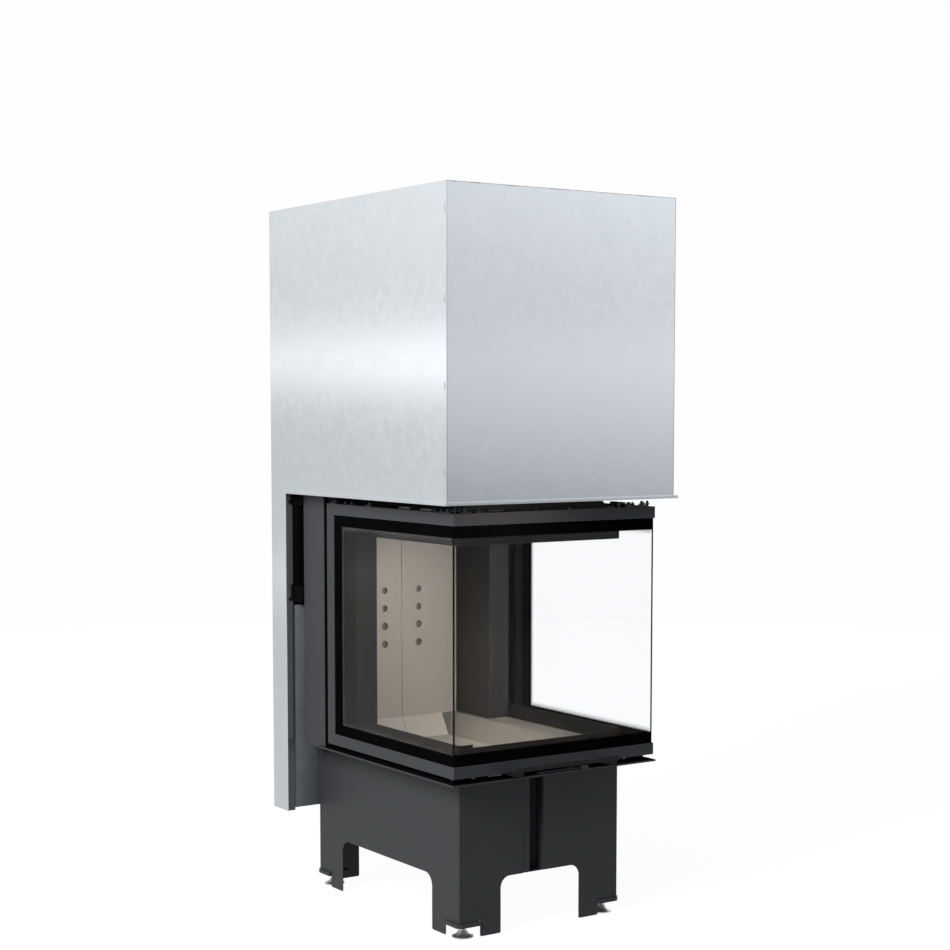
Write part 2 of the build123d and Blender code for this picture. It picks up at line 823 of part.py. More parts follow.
def make_lift():
    """Lift shaft, carriages, rollers, counterweights and cables."""
    roller_inner = guide_inner - rail_wall - axle_end - roller_width
    web_outer = carriage_web_inner + carriage_wall
    with BuildPart() as shaft:
        with BuildSketch(Plane.YZ.offset(-guide_inner - shaft_end)):
            with Locations((y_at(shaft_depth), shaft_height)):
                Circle(shaft_radius)
        extrude(amount=2 * (guide_inner + shaft_end))
    finish(shaft, "lift_shaft")
    for name, side in (("left", -1), ("right", 1)):
        with BuildPart() as carriage:
            with BuildSketch(Plane.XY.offset(carriage_bottom)):
                with BuildLine():
                    Polyline(
                        (side * (carriage_web_inner + carriage_foot_width), y_at(door_depth)),
                        (side * carriage_web_inner, y_at(door_depth)),
                        (side * carriage_web_inner, y_at(carriage_back)),
                    )
                    offset(amount=carriage_wall, side=inward(-side), kind=Kind.INTERSECTION)
                make_face()
            extrude(amount=carriage_top - carriage_bottom)
            for height in roller_heights:
                for radius, reach in (
                    (axle_shoulder_radius, roller_inner - seat_gap - web_outer),
                    (axle_radius, roller_inner + roller_width + axle_end / 2 - web_outer),
                ):
                    with BuildSketch(Plane.YZ.offset(side * web_outer)):
                        with Locations((y_at(roller_depth), height)):
                            Circle(radius)
                    extrude(amount=side * reach)
        finish(carriage, f"carriage_{name}")
        for row, height in zip(roller_names, roller_heights):
            with BuildPart() as roller:
                with BuildSketch(Plane.YZ.offset(side * roller_inner)):
                    with Locations((y_at(roller_depth), height)):
                        Circle(roller_radius)
                        Circle(axle_radius + running_gap, mode=Mode.SUBTRACT)
                extrude(amount=side * roller_width)
            finish(roller, f"roller_{name}_{row}")
        weight_top = weight_bottom + weight_height
        with BuildPart() as weight:
            with BuildSketch(Plane.XY.offset(weight_bottom)):
                with Locations((side * carriage_line, y_at(weight_depth_line))):
                    Rectangle(weight_width, weight_depth)
            extrude(amount=weight_height)
            chamfer(weight.edges().filter_by(Axis.Z), length=weight_edge)
            with BuildSketch(Plane.XY.offset(weight_top)):
                with Locations((side * carriage_line, y_at(weight_depth_line))):
                    Circle(weight_eye_radius)
            extrude(amount=weight_eye_height)
        finish(weight, f"counterweight_{name}")
        with BuildPart() as cable:
            start = (y_at(roller_depth), carriage_top)
            rise = (y_at(roller_depth), shaft_height)
            crown = (y_at(shaft_depth), shaft_height + pulley_radius)
            fall = (y_at(weight_depth_line), shaft_height)
            end = (y_at(weight_depth_line), weight_top + weight_eye_height)
            with BuildLine(Plane.YZ.offset(side * carriage_line)):
                Line(start, rise)
                ThreePointArc(rise, crown, fall)
                Line(fall, end)
            with BuildSketch(Plane.XY.offset(carriage_top)):
                with Locations((side * carriage_line, y_at(roller_depth))):
                    Circle(cable_radius)
            sweep()
        finish(cable, f"cable_{name}")


def make_pulleys():
    """Grooved pulleys on the lift shaft, and the brackets whose bearings carry it."""
    axis_y = y_at(shaft_depth)
    groove_radius = pulley_radius - cable_radius - seat_gap
    rim_radius = pulley_radius + pulley_rim
    rim_inner = groove_radius - pulley_rim_wall
    groove = cable_radius + seat_gap
    width = pulley_width / 2
    web = pulley_web / 2
    bore = shaft_radius + running_gap
    with BuildPart() as brackets:
        for side in (-1, 1):
            with BuildSketch(Plane.YZ.offset(side * guide_inner)):
                span(
                    y_at(bracket_front),
                    y_at(guide_back - guide_wall - guide_bend),
                    bracket_bottom,
                    shaft_height,
                )
                with Locations((axis_y, shaft_height)):
                    Circle(bracket_radius)
                    Circle(bore, mode=Mode.SUBTRACT)
            extrude(amount=-side * bracket_wall)
            with BuildSketch(Plane.YZ.offset(side * (guide_inner - bracket_wall))):
                with Locations((axis_y, shaft_height)):
                    Circle(bearing_radius)
                    Circle(bore, mode=Mode.SUBTRACT)
            extrude(amount=-side * bearing_length)
    finish(brackets, "bearing_brackets")
    with BuildPart() as pulleys:
        for side in (-1, 1):
            centre = side * carriage_line
            with BuildSketch(Plane.XY.offset(shaft_height)):
                with BuildLine():
                    Polyline(
                        (centre - groove, axis_y + pulley_radius),
                        (centre - width, axis_y + rim_radius),
                        (centre - width, axis_y + rim_inner),
                        (centre - web, axis_y + rim_inner),
                        (centre - web, axis_y + pulley_hub_radius),
                        (centre - width, axis_y + pulley_hub_radius),
                        (centre - width, axis_y + bore),
                        (centre + width, axis_y + bore),
                        (centre + width, axis_y + pulley_hub_radius),
                        (centre + web, axis_y + pulley_hub_radius),
                        (centre + web, axis_y + rim_inner),
                        (centre + width, axis_y + rim_inner),
                        (centre + width, axis_y + rim_radius),
                        (centre + groove, axis_y + pulley_radius),
                    )
                    ThreePointArc(
                        (centre + groove, axis_y + pulley_radius),
                        (centre, axis_y + groove_radius),
                        (centre - groove, axis_y + pulley_radius),
                    )
                make_face()
            revolve(axis=Axis((0, axis_y, shaft_height), (1, 0, 0)))
            with BuildSketch(Plane.YZ.offset(centre - width)):
                with Locations((axis_y, shaft_height)):
                    with PolarLocations((pulley_hub_radius + rim_inner) / 2, pulley_holes):
                        Circle(pulley_hole_radius)
            extrude(amount=pulley_width, mode=Mode.SUBTRACT)
    finish(pulleys, "pulleys")


def make_casing():
    """Rear casing: a wide channel with front flanges that hides the counterweights."""
    with BuildPart() as casing:
        with BuildSketch(Plane.XY.offset(casing_bottom)):
            with BuildLine():
                FilletPolyline(
                    (casing_flange - casing_half, y_at(casing_front)),
                    (-casing_half, y_at(casing_front)),
                    (-casing_half, y_at(casing_reach)),
                    (casing_half, y_at(casing_reach)),
                    (casing_half, y_at(casing_front)),
                    (casing_half - casing_flange, y_at(casing_front)),
                    radius=casing_bend,
                )
                offset(amount=casing_wall, side=Side.RIGHT)
            make_face()
        extrude(amount=overall_height - casing_bottom)
    finish(casing, "rear_casing")


def make_hood():
    """Hood panels with tab slots, the lower lip, the top frame and the sheet screws."""
    slot_y = y_at(-hood_front_reach + hood_slot_setback)
    for name, side in (("left", -1), ("right", 1)):
        with BuildPart() as panel:
            with BuildSketch(Plane.YZ.offset(side * casing_half)):
                span(y_at(-hood_front_reach), y_at(hood_back), hood_bottom, overall_height)
                with Locations(*((slot_y, height) for height in hood_slot_heights)):
                    Rectangle(hood_slot_width, hood_slot_height, mode=Mode.SUBTRACT)
            extrude(amount=side * hood_wall)
        finish(panel, f"hood_{name}_panel")
    with BuildPart() as front:
        with BuildSketch(Plane.XY.offset(hood_bottom)):
            with BuildLine():
                FilletPolyline(
                    (-casing_half, y_at(hood_flange - hood_front_reach)),
                    (-casing_half, y_at(-hood_front_reach)),
                    (casing_half, y_at(-hood_front_reach)),
                    (casing_half, y_at(hood_flange - hood_front_reach)),
                    radius=hood_bend,
                )
                offset(amount=hood_wall, side=Side.LEFT)
            make_face()
        extrude(amount=hood_height - hood_wall)
        for side in (-1, 1):
            with BuildSketch(Plane.YZ.offset(side * (casing_half - hood_wall))):
                with Locations(*((slot_y, height) for height in hood_slot_heights)):
                    Rectangle(hood_slot_width - 2 * seat_gap, hood_slot_height - 2 * seat_gap)
            extrude(amount=side * 2 * hood_wall)
    finish(front, "hood_front_panel")
    with BuildPart() as lip:
        with BuildSketch(Plane.XY.offset(hood_bottom)):
            band(hood_half + lip_size, -hood_front_reach - lip_size, lip_back, lip_size)
        extrude(amount=lip_wall)
        with BuildSketch(Plane.XY.offset(hood_bottom + lip_size - lip_wall)):
            band(hood_half + lip_size, -hood_front_reach - lip_size, lip_back, lip_size)
        extrude(amount=lip_wall)
        with BuildSketch(Plane.XY.offset(hood_bottom)):
            band(hood_half + lip_size, -hood_front_reach - lip_size, lip_back, lip_wall)
        extrude(amount=lip_size)
    finish(lip, "hood_lip")
    with BuildPart() as top_frame:
        front_y = y_at(hood_wall - hood_front_reach)
        back_y = y_at(casing_front - seat_gap)
        with BuildSketch(Plane.XY.offset(overall_height - hood_wall)):
            span(-casing_half, casing_half, front_y, back_y)
            span(
                -casing_half + top_frame_width,
                casing_half - top_frame_width,
                front_y + top_frame_width,
                back_y - top_frame_width,
                Mode.SUBTRACT,
            )
            with Locations((0, front_y - hood_wall / 2)):
                with GridLocations(top_tab_spacing, 0, top_tabs, 1):
                    Rectangle(top_tab_width, hood_wall)
        extrude(amount=hood_wall)
    finish(top_frame, "hood_top_frame")
    strip_y = y_at(body_front + base_wall)
    strip_x = -slot_left_edge - strip_width / 2
    flange_x = casing_half - casing_flange / 2
    flange_spots = [(side * flange_x, height) for side in (-1, 1) for height in casing_screw_heights]
    with BuildPart() as screws:
        with BuildSketch(Plane.XZ.offset(-strip_y)):
            with Locations(*((strip_x, height) for height in strip_screw_heights)):
                Circle(screw_head_radius)
        extrude(amount=screw_head_height)
        with BuildSketch(Plane.XZ.offset(-y_at(casing_front))):
            with Locations(*flange_spots):
                Circle(screw_head_radius)
        extrude(amount=screw_head_height)
    finish(screws, "sheet_screws")


def make_door():
    """Door bars, side frames, three panes and the stand-off handle."""
    pane_front = glass_inset - seat_gap
    pane_back = glass_inset + glass_wall + seat_gap
    bars = (
        ("front_bottom_bar", door_bottom, door_bottom + bar_height - glass_seat - seat_gap),
        ("front_top_bar", door_top - bar_height, door_top - bar_height),
    )
    for name, bottom, groove_bottom in bars:
        with BuildPart() as bar:
            with BuildSketch(Plane.XY.offset(bottom)):
                band(door_half, 0, door_depth, bar_depth)
            extrude(amount=bar_height)
            with BuildSketch(Plane.XY.offset(groove_bottom)):
                band(
                    door_half - pane_front,
                    pane_front,
                    door_depth - side_frame_depth,
                    pane_back - pane_front,
                )
            extrude(amount=glass_seat + seat_gap, mode=Mode.SUBTRACT)
        finish(bar, name)
    pane_bottom = door_bottom + bar_height - glass_seat
    pane_height = door_height - 2 * bar_height + 2 * glass_seat
    pane_half = door_half - glass_inset
    with BuildPart() as front_glass:
        with BuildSketch(Plane.XY.offset(pane_bottom)):
            span(-pane_half, pane_half, y_at(glass_inset), y_at(glass_inset + glass_wall))
        extrude(amount=pane_height)
    finish(front_glass, "glass_front")
    frame_front = door_depth - side_frame_depth
    frame_bottom = door_bottom + bar_height
    frame_height = door_height - 2 * bar_height
    frame_inner = door_half - side_frame_width
    for name, side in (("left", -1), ("right", 1)):
        with BuildPart() as side_frame:
            with BuildSketch(Plane.XY.offset(frame_bottom)):
                low, high = sorted((side * frame_inner, side * door_half))
                span(low, high, y_at(frame_front), y_at(door_depth))
                low, high = sorted((side * (frame_inner - cut_over), side * (door_half - side_frame_wall)))
                span(
                    low,
                    high,
                    y_at(frame_front + side_frame_block),
                    y_at(door_depth - side_frame_wall),
                    Mode.SUBTRACT,
                )
                low, high = sorted((side * (door_half - pane_back), side * (door_half - pane_front)))
                span(low, high, y_at(frame_front - cut_over), y_at(frame_front + glass_seat), Mode.SUBTRACT)
            extrude(amount=frame_height)
        finish(side_frame, f"side_frame_{name}")
        with BuildPart() as pane:
            with BuildSketch(Plane.XY.offset(frame_bottom)):
                low, high = sorted((side * (pane_half - glass_wall), side * pane_half))
                span(low, high, y_at(pane_back), y_at(frame_front + glass_seat - seat_gap))
            extrude(amount=frame_height)
            with BuildSketch(Plane.XY.offset(pane_bottom)):
                span(low, high, y_at(pane_back), y_at(frame_front - seat_gap))
            extrude(amount=pane_height)
        finish(pane, f"glass_{name}")
    corner = door_half - clamp_inset - clamp_length
    columns = (corner, corner - clamp_corner_pitch)
    front_row = [(side * column, y_at(clamp_inset)) for side in (-1, 1) for column in columns]
    side_depths = (clamp_inset + clamp_length, door_depth * clamp_side_share, door_depth - clamp_length)
    side_row = [(side * (door_half - clamp_inset), y_at(depth)) for side in (-1, 1) for depth in side_depths]
    with BuildPart() as clamps:
        for width, depth, spots in (
            (clamp_length, clamp_width, front_row),
            (clamp_width, clamp_length, side_row),
        ):
            with BuildSketch(Plane.XY.offset(door_top)):
                with Locations(*spots):
                    Rectangle(width, depth)
            extrude(amount=clamp_wall)
            with BuildSketch(Plane.XY.offset(door_top + clamp_wall)):
                with Locations(*spots):
                    RegularPolygon(radius=clamp_bolt_radius, side_count=6)
            extrude(amount=clamp_bolt_height)
    finish(clamps, "door_clamps")
    with BuildPart() as handle:
        with BuildSketch(Plane.XZ.offset(-y_at(-handle_reach))):
            span(-handle_width / 2, handle_width / 2, handle_bottom, handle_bottom + handle_bar_height)
        extrude(amount=-handle_bar_depth)
        fillet(handle.edges().filter_by(Axis.X), radius=handle_edge)
        leg_face = y_at(handle_bar_depth - handle_reach)
        leg_centre = (handle_width - handle_leg_width) / 2
        for side in (-1, 1):
            with BuildSketch(Plane.YZ.offset(side * leg_centre)):
                with BuildLine():
                    Polyline(
                        (leg_face, handle_bottom + handle_bar_height - handle_edge),
                        (leg_face, door_bottom - handle_leg_wall),
                        (y_at(handle_leg_grip), door_bottom - handle_leg_wall),
                    )
                    offset(amount=handle_leg_wall, side=Side.LEFT, kind=Kind.INTERSECTION)
                make_face()
            extrude(amount=handle_leg_width / 2, both=True)
    finish(handle, "door_handle")


make_base_shells()
make_feet()
make_ledge_and_pan()
make_hearth()
make_firebox()
make_air_parts()
make_guides()
make_lift()
make_pulleys()
make_casing()
make_hood()
make_door()
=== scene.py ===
"""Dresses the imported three-sided fireplace: finishes, fittings, studio and camera. Lengths are in metres."""
import json
import logging
import math
from collections.abc import Callable, Sequence
from dataclasses import dataclass, field
from enum import Enum

import bmesh
import bpy
from mathutils import Euler, Matrix, Vector

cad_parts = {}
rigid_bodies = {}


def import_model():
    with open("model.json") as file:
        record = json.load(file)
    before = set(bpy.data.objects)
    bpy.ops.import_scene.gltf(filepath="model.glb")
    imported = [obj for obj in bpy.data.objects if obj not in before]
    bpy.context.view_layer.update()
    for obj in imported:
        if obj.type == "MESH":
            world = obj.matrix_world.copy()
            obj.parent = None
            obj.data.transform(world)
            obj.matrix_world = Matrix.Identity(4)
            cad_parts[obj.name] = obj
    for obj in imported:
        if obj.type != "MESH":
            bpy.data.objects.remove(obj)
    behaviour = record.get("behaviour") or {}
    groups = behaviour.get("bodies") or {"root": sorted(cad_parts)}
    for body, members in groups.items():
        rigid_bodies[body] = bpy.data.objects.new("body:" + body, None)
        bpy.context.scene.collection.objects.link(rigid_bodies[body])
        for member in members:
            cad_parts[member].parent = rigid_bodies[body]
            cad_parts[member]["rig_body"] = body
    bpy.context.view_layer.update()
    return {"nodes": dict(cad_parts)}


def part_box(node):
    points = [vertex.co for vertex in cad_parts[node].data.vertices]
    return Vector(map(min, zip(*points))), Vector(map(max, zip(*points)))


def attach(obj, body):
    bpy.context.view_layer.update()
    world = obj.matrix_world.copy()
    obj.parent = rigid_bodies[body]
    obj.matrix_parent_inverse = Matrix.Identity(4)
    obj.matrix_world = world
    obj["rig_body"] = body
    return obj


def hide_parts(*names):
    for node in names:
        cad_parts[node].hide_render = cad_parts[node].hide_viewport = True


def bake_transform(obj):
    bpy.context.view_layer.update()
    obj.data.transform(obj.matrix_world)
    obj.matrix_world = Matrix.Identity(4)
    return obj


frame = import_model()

log = logging.getLogger("fireplace")

Colour = tuple[float, float, float]
Point = tuple[float, float, float]
Span = tuple[float, float]
Lengths = tuple[float, ...]
Sockets = dict[str, object]
Value = "Wire | float"
FaceTest = Callable[[bmesh.types.BMFace], bool]

ORIGIN: Point = (0.0, 0.0, 0.0)
UP: Point = (0.0, 0.0, 1.0)
DOWN: Point = (0.0, 0.0, -1.0)
FORWARD: Point = (0.0, -1.0, 0.0)
WHITE: Colour = (1.0, 1.0, 1.0)

MM = 0.001
FRONT_FACE = 0.3565
MERGE_DISTANCE = 0.005 * MM
FLAT_ANGLE = math.radians(0.3)
SHARP_ANGLE = math.radians(35.0)
BEVEL_FACES = 2


def at_depth(depth: float) -> float:
    """Give the Y of a plane that lies this far behind the door's front face."""
    return depth - FRONT_FACE


def mm(*lengths: float) -> Lengths:
    """Turn millimetres into metres."""
    return tuple(length * MM for length in lengths)


def pairs(*values: Span) -> tuple[Lengths, ...]:
    """Turn pairs of millimetres into metres."""
    return tuple(mm(*pair) for pair in values)


class Slot(Enum):
    """Material slots of the record, which new pieces are passed but do not wear."""

    SHEET = "galvanised_sheet"
    PAINT = "anthracite_paint"
    BLACK = "black_paint"
    CERAMIC = "ceramic"
    ZINC = "zinc"
    ROLLER = "roller_plastic"


class Side(Enum):
    """The two hands of the fireplace, as seen from the front."""

    LEFT = -1
    RIGHT = 1

    @property
    def word(self) -> str:
        """Name of the side in node and piece names."""
        return self.name.lower()

    def span(self, inner: float, outer: float) -> Span:
        """Give the two X values of a span on this side, the lower one first."""
        low, high = sorted((self.value * inner, self.value * outer))
        return low, high


class Wire:
    """A shader socket that maths is written with."""

    def __init__(self, graph: "Graph", socket: bpy.types.NodeSocket) -> None:
        """Keep an output socket and the graph that new Math nodes go into."""
        self.graph = graph
        self.socket = socket

    def __add__(self, other: Value) -> "Wire":
        """Add a value."""
        return self.graph.maths("ADD", self, other)

    def __sub__(self, other: Value) -> "Wire":
        """Take a value off."""
        return self.graph.maths("SUBTRACT", self, other)

    def __rsub__(self, other: float) -> "Wire":
        """Take this off a value."""
        return self.graph.maths("SUBTRACT", other, self)

    def __mul__(self, other: Value) -> "Wire":
        """Multiply by a value."""
        return self.graph.maths("MULTIPLY", self, other)

    def __truediv__(self, other: Value) -> "Wire":
        """Divide by a value."""
        return self.graph.maths("DIVIDE", self, other)

    def __pow__(self, other: Value) -> "Wire":
        """Raise to a power."""
        return self.graph.maths("POWER", self, other)

    def exp(self) -> "Wire":
        """Raise e to this power."""
        return self.graph.maths("EXPONENT", self)

    def size(self) -> "Wire":
        """Drop the sign."""
        return self.graph.maths("ABSOLUTE", self)

    def largest(self, other: Value) -> "Wire":
        """Take the larger of two values."""
        return self.graph.maths("MAXIMUM", self, other)

    def clamped(self, low: float, high: float) -> "Wire":
        """Keep the value between two limits."""
        return self.graph.maths("MINIMUM", self.largest(low), high)

    def bell(self, middle: float, spread: float) -> "Wire":
        """Give 1 at a middle value and less to both sides of it."""
        return (((self - middle) / spread) ** 2.0 * -1.0).exp()

    def above(self, edge: float, blur: float) -> "Wire":
        """Give 0 under an edge and 1 over it, with a step as wide as the blur."""
        return ((self - (edge - blur / 2)) / blur).clamped(0.0, 1.0)


class Graph:
    """The nodes of one material or world."""

    def __init__(self, tree: bpy.types.NodeTree) -> None:
        """Empty a node tree and keep it."""
        self.tree = tree
        tree.nodes.clear()

    @staticmethod
    def find(sockets: bpy.types.bpy_prop_collection, name: str) -> bpy.types.NodeSocket:
        """Look up a node's socket by its identifier, or else by its name.

        Args:
            sockets: Inputs or outputs of a node.
            name: Identifier or name.

        Returns:
            The socket.
        """
        by_identifier = [s for s in sockets if s.identifier == name]
        by_name = [s for s in sockets if s.name == name and s.enabled]
        return (by_identifier or by_name)[0]

    def node(self, kind: str, sockets: Sockets | None = None, **settings: object) -> bpy.types.Node:
        """Add a node.

        Args:
            kind: Node type without its prefix.
            sockets: Values or wires by socket name.
            settings: Properties of the node, which are set first.

        Returns:
            The new node.
        """
        made = self.tree.nodes.new(f"ShaderNode{kind}")
        for name, value in settings.items():
            setattr(made, name, value)
        for name, value in (sockets or {}).items():
            socket = self.find(made.inputs, name)
            if isinstance(value, Wire):
                self.tree.links.new(value.socket, socket)
            elif isinstance(value, tuple) and socket.type == "RGBA":
                socket.default_value = (*value, 1.0)
            else:
                socket.default_value = value
        return made

    def wire(self, made: bpy.types.Node, output: str) -> Wire:
        """Give a node's output as a wire."""
        return Wire(self, self.find(made.outputs, output))

    def add(self, kind: str, output: str, sockets: Sockets | None = None, **settings: object) -> Wire:
        """Add a node as above and give one of its outputs."""
        return self.wire(self.node(kind, sockets, **settings), output)

    def maths(self, operation: str, *values: Value) -> Wire:
        """Add a Math node with one or two values."""
        sockets = dict(zip(("Value", "Value_001"), values))
        return self.add("Math", "Value", sockets, operation=operation)

    def place(self) -> Wire:
        """Give the Object coordinates."""
        return self.add("TexCoord", "Object")

    def axes(self, vector: Wire) -> tuple[Wire, Wire, Wire]:
        """Split a vector into its three parts."""
        parts = self.node("SeparateXYZ", {"Vector": vector})
        return self.wire(parts, "X"), self.wire(parts, "Y"), self.wire(parts, "Z")

    def stretched(self, vector: Wire, scale: Point) -> Wire:
        """Scale a vector along each axis."""
        sockets = {"Vector": vector, "Scale": scale}
        return self.add("Mapping", "Vector", sockets, vector_type="POINT")

    def noise(self, vector: Wire, scale: float, detail: float = 3.0, roughness: float = 0.5) -> Wire:
        """Add a noise pattern from 0 to 1, with its features per metre and its finer layers."""
        sockets = {"Vector": vector, "Scale": scale, "Detail": detail, "Roughness": roughness}
        return self.add("TexNoise", "Fac", sockets, noise_dimensions="3D")

    def cells(self, vector: Wire, scale: float) -> Wire:
        """Add a pattern of cells, each with its own value from 0 to 1."""
        cells = self.add("TexVoronoi", "Color", {"Vector": vector, "Scale": scale}, feature="F1")
        return self.add("SeparateColor", "Red", {"Color": cells})

    def blend(self, factor: Wire, first: "Wire | Colour", second: "Wire | Colour") -> Wire:
        """Mix two colours: 0 gives the first and 1 the second."""
        sockets = {"Factor_Float": factor, "A_Color": first, "B_Color": second}
        return self.add("Mix", "Result_Color", sockets, data_type="RGBA", clamp_factor=True)

    def relief(self, height: Wire, strength: float, distance: float) -> Wire:
        """Give the normal of a height pattern, with its share and its height in metres."""
        sockets = {"Height": height, "Strength": strength, "Distance": distance}
        return self.add("Bump", "Normal", sockets)

    def seen(self) -> Wire:
        """Give 1 for rays of the camera and rays through glass, and 0 for all others."""
        path = self.node("LightPath")
        return self.wire(path, "Is Camera Ray").largest(self.wire(path, "Is Transmission Ray"))

    def principled(self, sockets: Sockets) -> Wire:
        """Add the main shader."""
        return self.add("BsdfPrincipled", "BSDF", sockets)

    def mixed(self, factor: Wire, first: Wire, second: Wire) -> Wire:
        """Mix two shaders: 0 gives the first and 1 the second."""
        sockets = {"Fac": factor, "Shader": first, "Shader_001": second}
        return self.add("MixShader", "Shader", sockets)


class Finish:
    """Base of all finishes: makes its material once and keeps it."""

    name: str
    tint: Colour
    shade: Colour
    made: dict[str, bpy.types.Material] = {}

    def material(self) -> bpy.types.Material:
        """Give the material, which is made on first use.

        Returns:
            The material.
        """
        if self.name not in Finish.made:
            made = bpy.data.materials.new(self.name)
            made.use_nodes = True
            graph = Graph(made.node_tree)
            graph.node("OutputMaterial", {"Surface": self.surface(graph)})
            Finish.made[self.name] = made
        return Finish.made[self.name]

    def surface(self, graph: Graph) -> Wire:
        """Make the shader. Each finish has its own."""
        raise NotImplementedError

    def skin(
        self, graph: Graph, mix: Wire, roughness: Wire, normal: Wire, metal: float = 0.0, gloss: float = 0.5
    ) -> Wire:
        """Add the main shader, coloured between the finish's shade and its tint.

        Args:
            graph: Graph of the material.
            mix: 0 for the shade and 1 for the tint.
            roughness: Roughness of the surface.
            normal: Normal with the fine relief.
            metal: Share of metal.
            gloss: Level of the reflections.

        Returns:
            The shader.
        """
        colour = graph.blend(mix, self.shade, self.tint)
        sockets = {"Base Color": colour, "Metallic": metal, "Roughness": roughness}
        return graph.principled({**sockets, "Specular IOR Level": gloss, "Normal": normal})


@dataclass(frozen=True)
class GalvanisedSheet(Finish):
    """Hot-dip galvanised sheet steel with a faint spangle and a rolled sheen."""

    name: str = "galvanised_sheet"
    tint: Colour = (0.785, 0.82, 0.845)
    shade: Colour = (0.725, 0.76, 0.785)
    roughness: float = 0.09
    metallic: float = 1.0
    spangle: float = 42.0
    fine_spangle: float = 110.0
    cloud: float = 14.0
    roll_stretch: Point = (3.0, 3.0, 160.0)

    def surface(self, graph: Graph) -> Wire:
        """Mix two sizes of crystal with a slow cloud over the sheet.

        Args:
            graph: Graph of the material.

        Returns:
            The shader.
        """
        place = graph.place()
        cloud = graph.noise(place, self.cloud, 2.0)
        crystals = graph.cells(place, self.spangle) * 0.6 + graph.cells(place, self.fine_spangle) * 0.4
        rolled = graph.noise(graph.stretched(place, self.roll_stretch), 1.0, 2.0)
        roughness = crystals * 0.04 + rolled * 0.03 + self.roughness
        normal = graph.relief(crystals * 0.6 + rolled * 0.4, 0.08, 0.06 * MM)
        return self.skin(graph, crystals * 0.55 + cloud * 0.45, roughness, normal, self.metallic)


@dataclass(frozen=True)
class StovePaint(Finish):
    """Sprayed matt heat-proof paint with a fine grain."""

    name: str = "anthracite_paint"
    tint: Colour = (0.0168, 0.0170, 0.0192)
    shade: Colour = (0.0134, 0.0136, 0.0152)
    roughness: float = 0.44
    gloss: float = 0.22
    relief_height: float = 0.12 * MM
    cloud: float = 9.0
    grain: float = 1400.0

    def surface(self, graph: Graph) -> Wire:
        """Give the paint a fine grain and a slow change of shade.

        Args:
            graph: Graph of the material.

        Returns:
            The shader.
        """
        place = graph.place()
        cloud = graph.noise(place, self.cloud, 3.0)
        grain = graph.noise(place, self.grain, 2.0)
        roughness = cloud * 0.08 + grain * 0.05 + self.roughness - 0.06
        normal = graph.relief(grain, 0.2, self.relief_height)
        return self.skin(graph, cloud * 0.8 + grain * 0.2, roughness, normal, gloss=self.gloss)


@dataclass(frozen=True)
class Fireclay(Finish):
    """Pressed fireclay: matt, slightly mottled, with fine grit and pores."""

    name: str
    tint: Colour
    shade: Colour
    cloud: float = 7.0
    grit: float = 520.0
    pores: float = 260.0

    def surface(self, graph: Graph) -> Wire:
        """Mottle the clay and give it grit and open pores.

        Args:
            graph: Graph of the material.

        Returns:
            The shader.
        """
        place = graph.place()
        cloud = graph.noise(place, self.cloud, 4.0, 0.6)
        grit = graph.noise(place, self.grit, 3.0, 0.6)
        pores = graph.cells(place, self.pores).above(0.93, 0.04)
        normal = graph.relief(grit - pores * 0.8, 0.35, 0.4 * MM)
        # The pores are painted darker as well: painted shade inside them.
        mix = cloud * 0.6 + grit * 0.4 - pores * 0.25
        return self.skin(graph, mix, grit * 0.1 + 0.82, normal, gloss=0.3)


@dataclass(frozen=True)
class PrintedGlass(Finish):
    """Clear ceramic glass with a black printed border."""

    name: str = "ceramic_glass"
    print_low: float = 426.5 * MM
    print_high: float = 893.4 * MM
    print_back: float = at_depth(476.5 * MM)
    print_blur: float = 1.2 * MM
    seam_width: float = 1.3 * MM
    seam_depth: float = at_depth(8.4 * MM)
    half_width: float = 272.0 * MM
    haze_width: float = 15.0 * MM
    haze: float = 0.5
    refraction: float = 1.13
    tint: Colour = (0.984, 0.988, 0.991)
    ink: Colour = (0.0014, 0.0014, 0.0015)
    deep_ink: Colour = (0.0006, 0.0006, 0.0006)
    haze_tint: Colour = (0.060, 0.058, 0.055)

    def _border(self, across: Wire, depth: Wire, height: Wire, inward: float, blur: float) -> Wire:
        """Make a mask of the printed border.

        Args:
            across: X coordinate.
            depth: Y coordinate.
            height: Z coordinate.
            inward: How far the mask reaches past the border's edge.
            blur: Width of the mask's soft edge.

        Returns:
            0 on clear glass and 1 on the border.
        """
        low = 1.0 - height.above(self.print_low + inward, blur)
        high = height.above(self.print_high - inward, blur)
        back = depth.above(self.print_back - inward, blur)
        edge = across.size().above(self.half_width - self.seam_width, self.print_blur)
        seam = edge * (1.0 - depth.above(self.seam_depth, self.print_blur))
        return low.largest(high).largest(back).largest(seam)

    def _ink(self, graph: Graph, smear: Wire, tone: Colour, roughness: Wire, gloss: float) -> Wire:
        """Add smeared ink, mixed from another tone and the ink's own."""
        sockets = {"Base Color": graph.blend(smear, tone, self.ink), "Roughness": roughness}
        return graph.principled({**sockets, "Specular IOR Level": gloss})

    def surface(self, graph: Graph) -> Wire:
        """Cover the borders of clear glass with black ink that ends in a faint haze.

        Args:
            graph: Graph of the material.

        Returns:
            The shader.
        """
        place = graph.place()
        across, depth, height = graph.axes(place)
        border = self._border(across, depth, height, 0.0, self.print_blur)
        beside = depth.above(self.seam_depth, self.print_blur)
        fade = self._border(across, depth, height, self.haze_width / 2, self.haze_width) * beside
        smear = graph.noise(place, 11.0, 3.0)
        pane = {"Base Color": self.tint, "Roughness": smear * 0.012, "IOR": self.refraction}
        clear = graph.principled({**pane, "Transmission Weight": 1.0})
        hazy = self._ink(graph, smear, self.haze_tint, smear * 0.1 + 0.5, 0.2)
        printed = self._ink(graph, smear, self.deep_ink, smear * 0.03 + 0.06, 0.0)
        return graph.mixed(border, graph.mixed(fade * fade * self.haze, clear, hazy), printed)


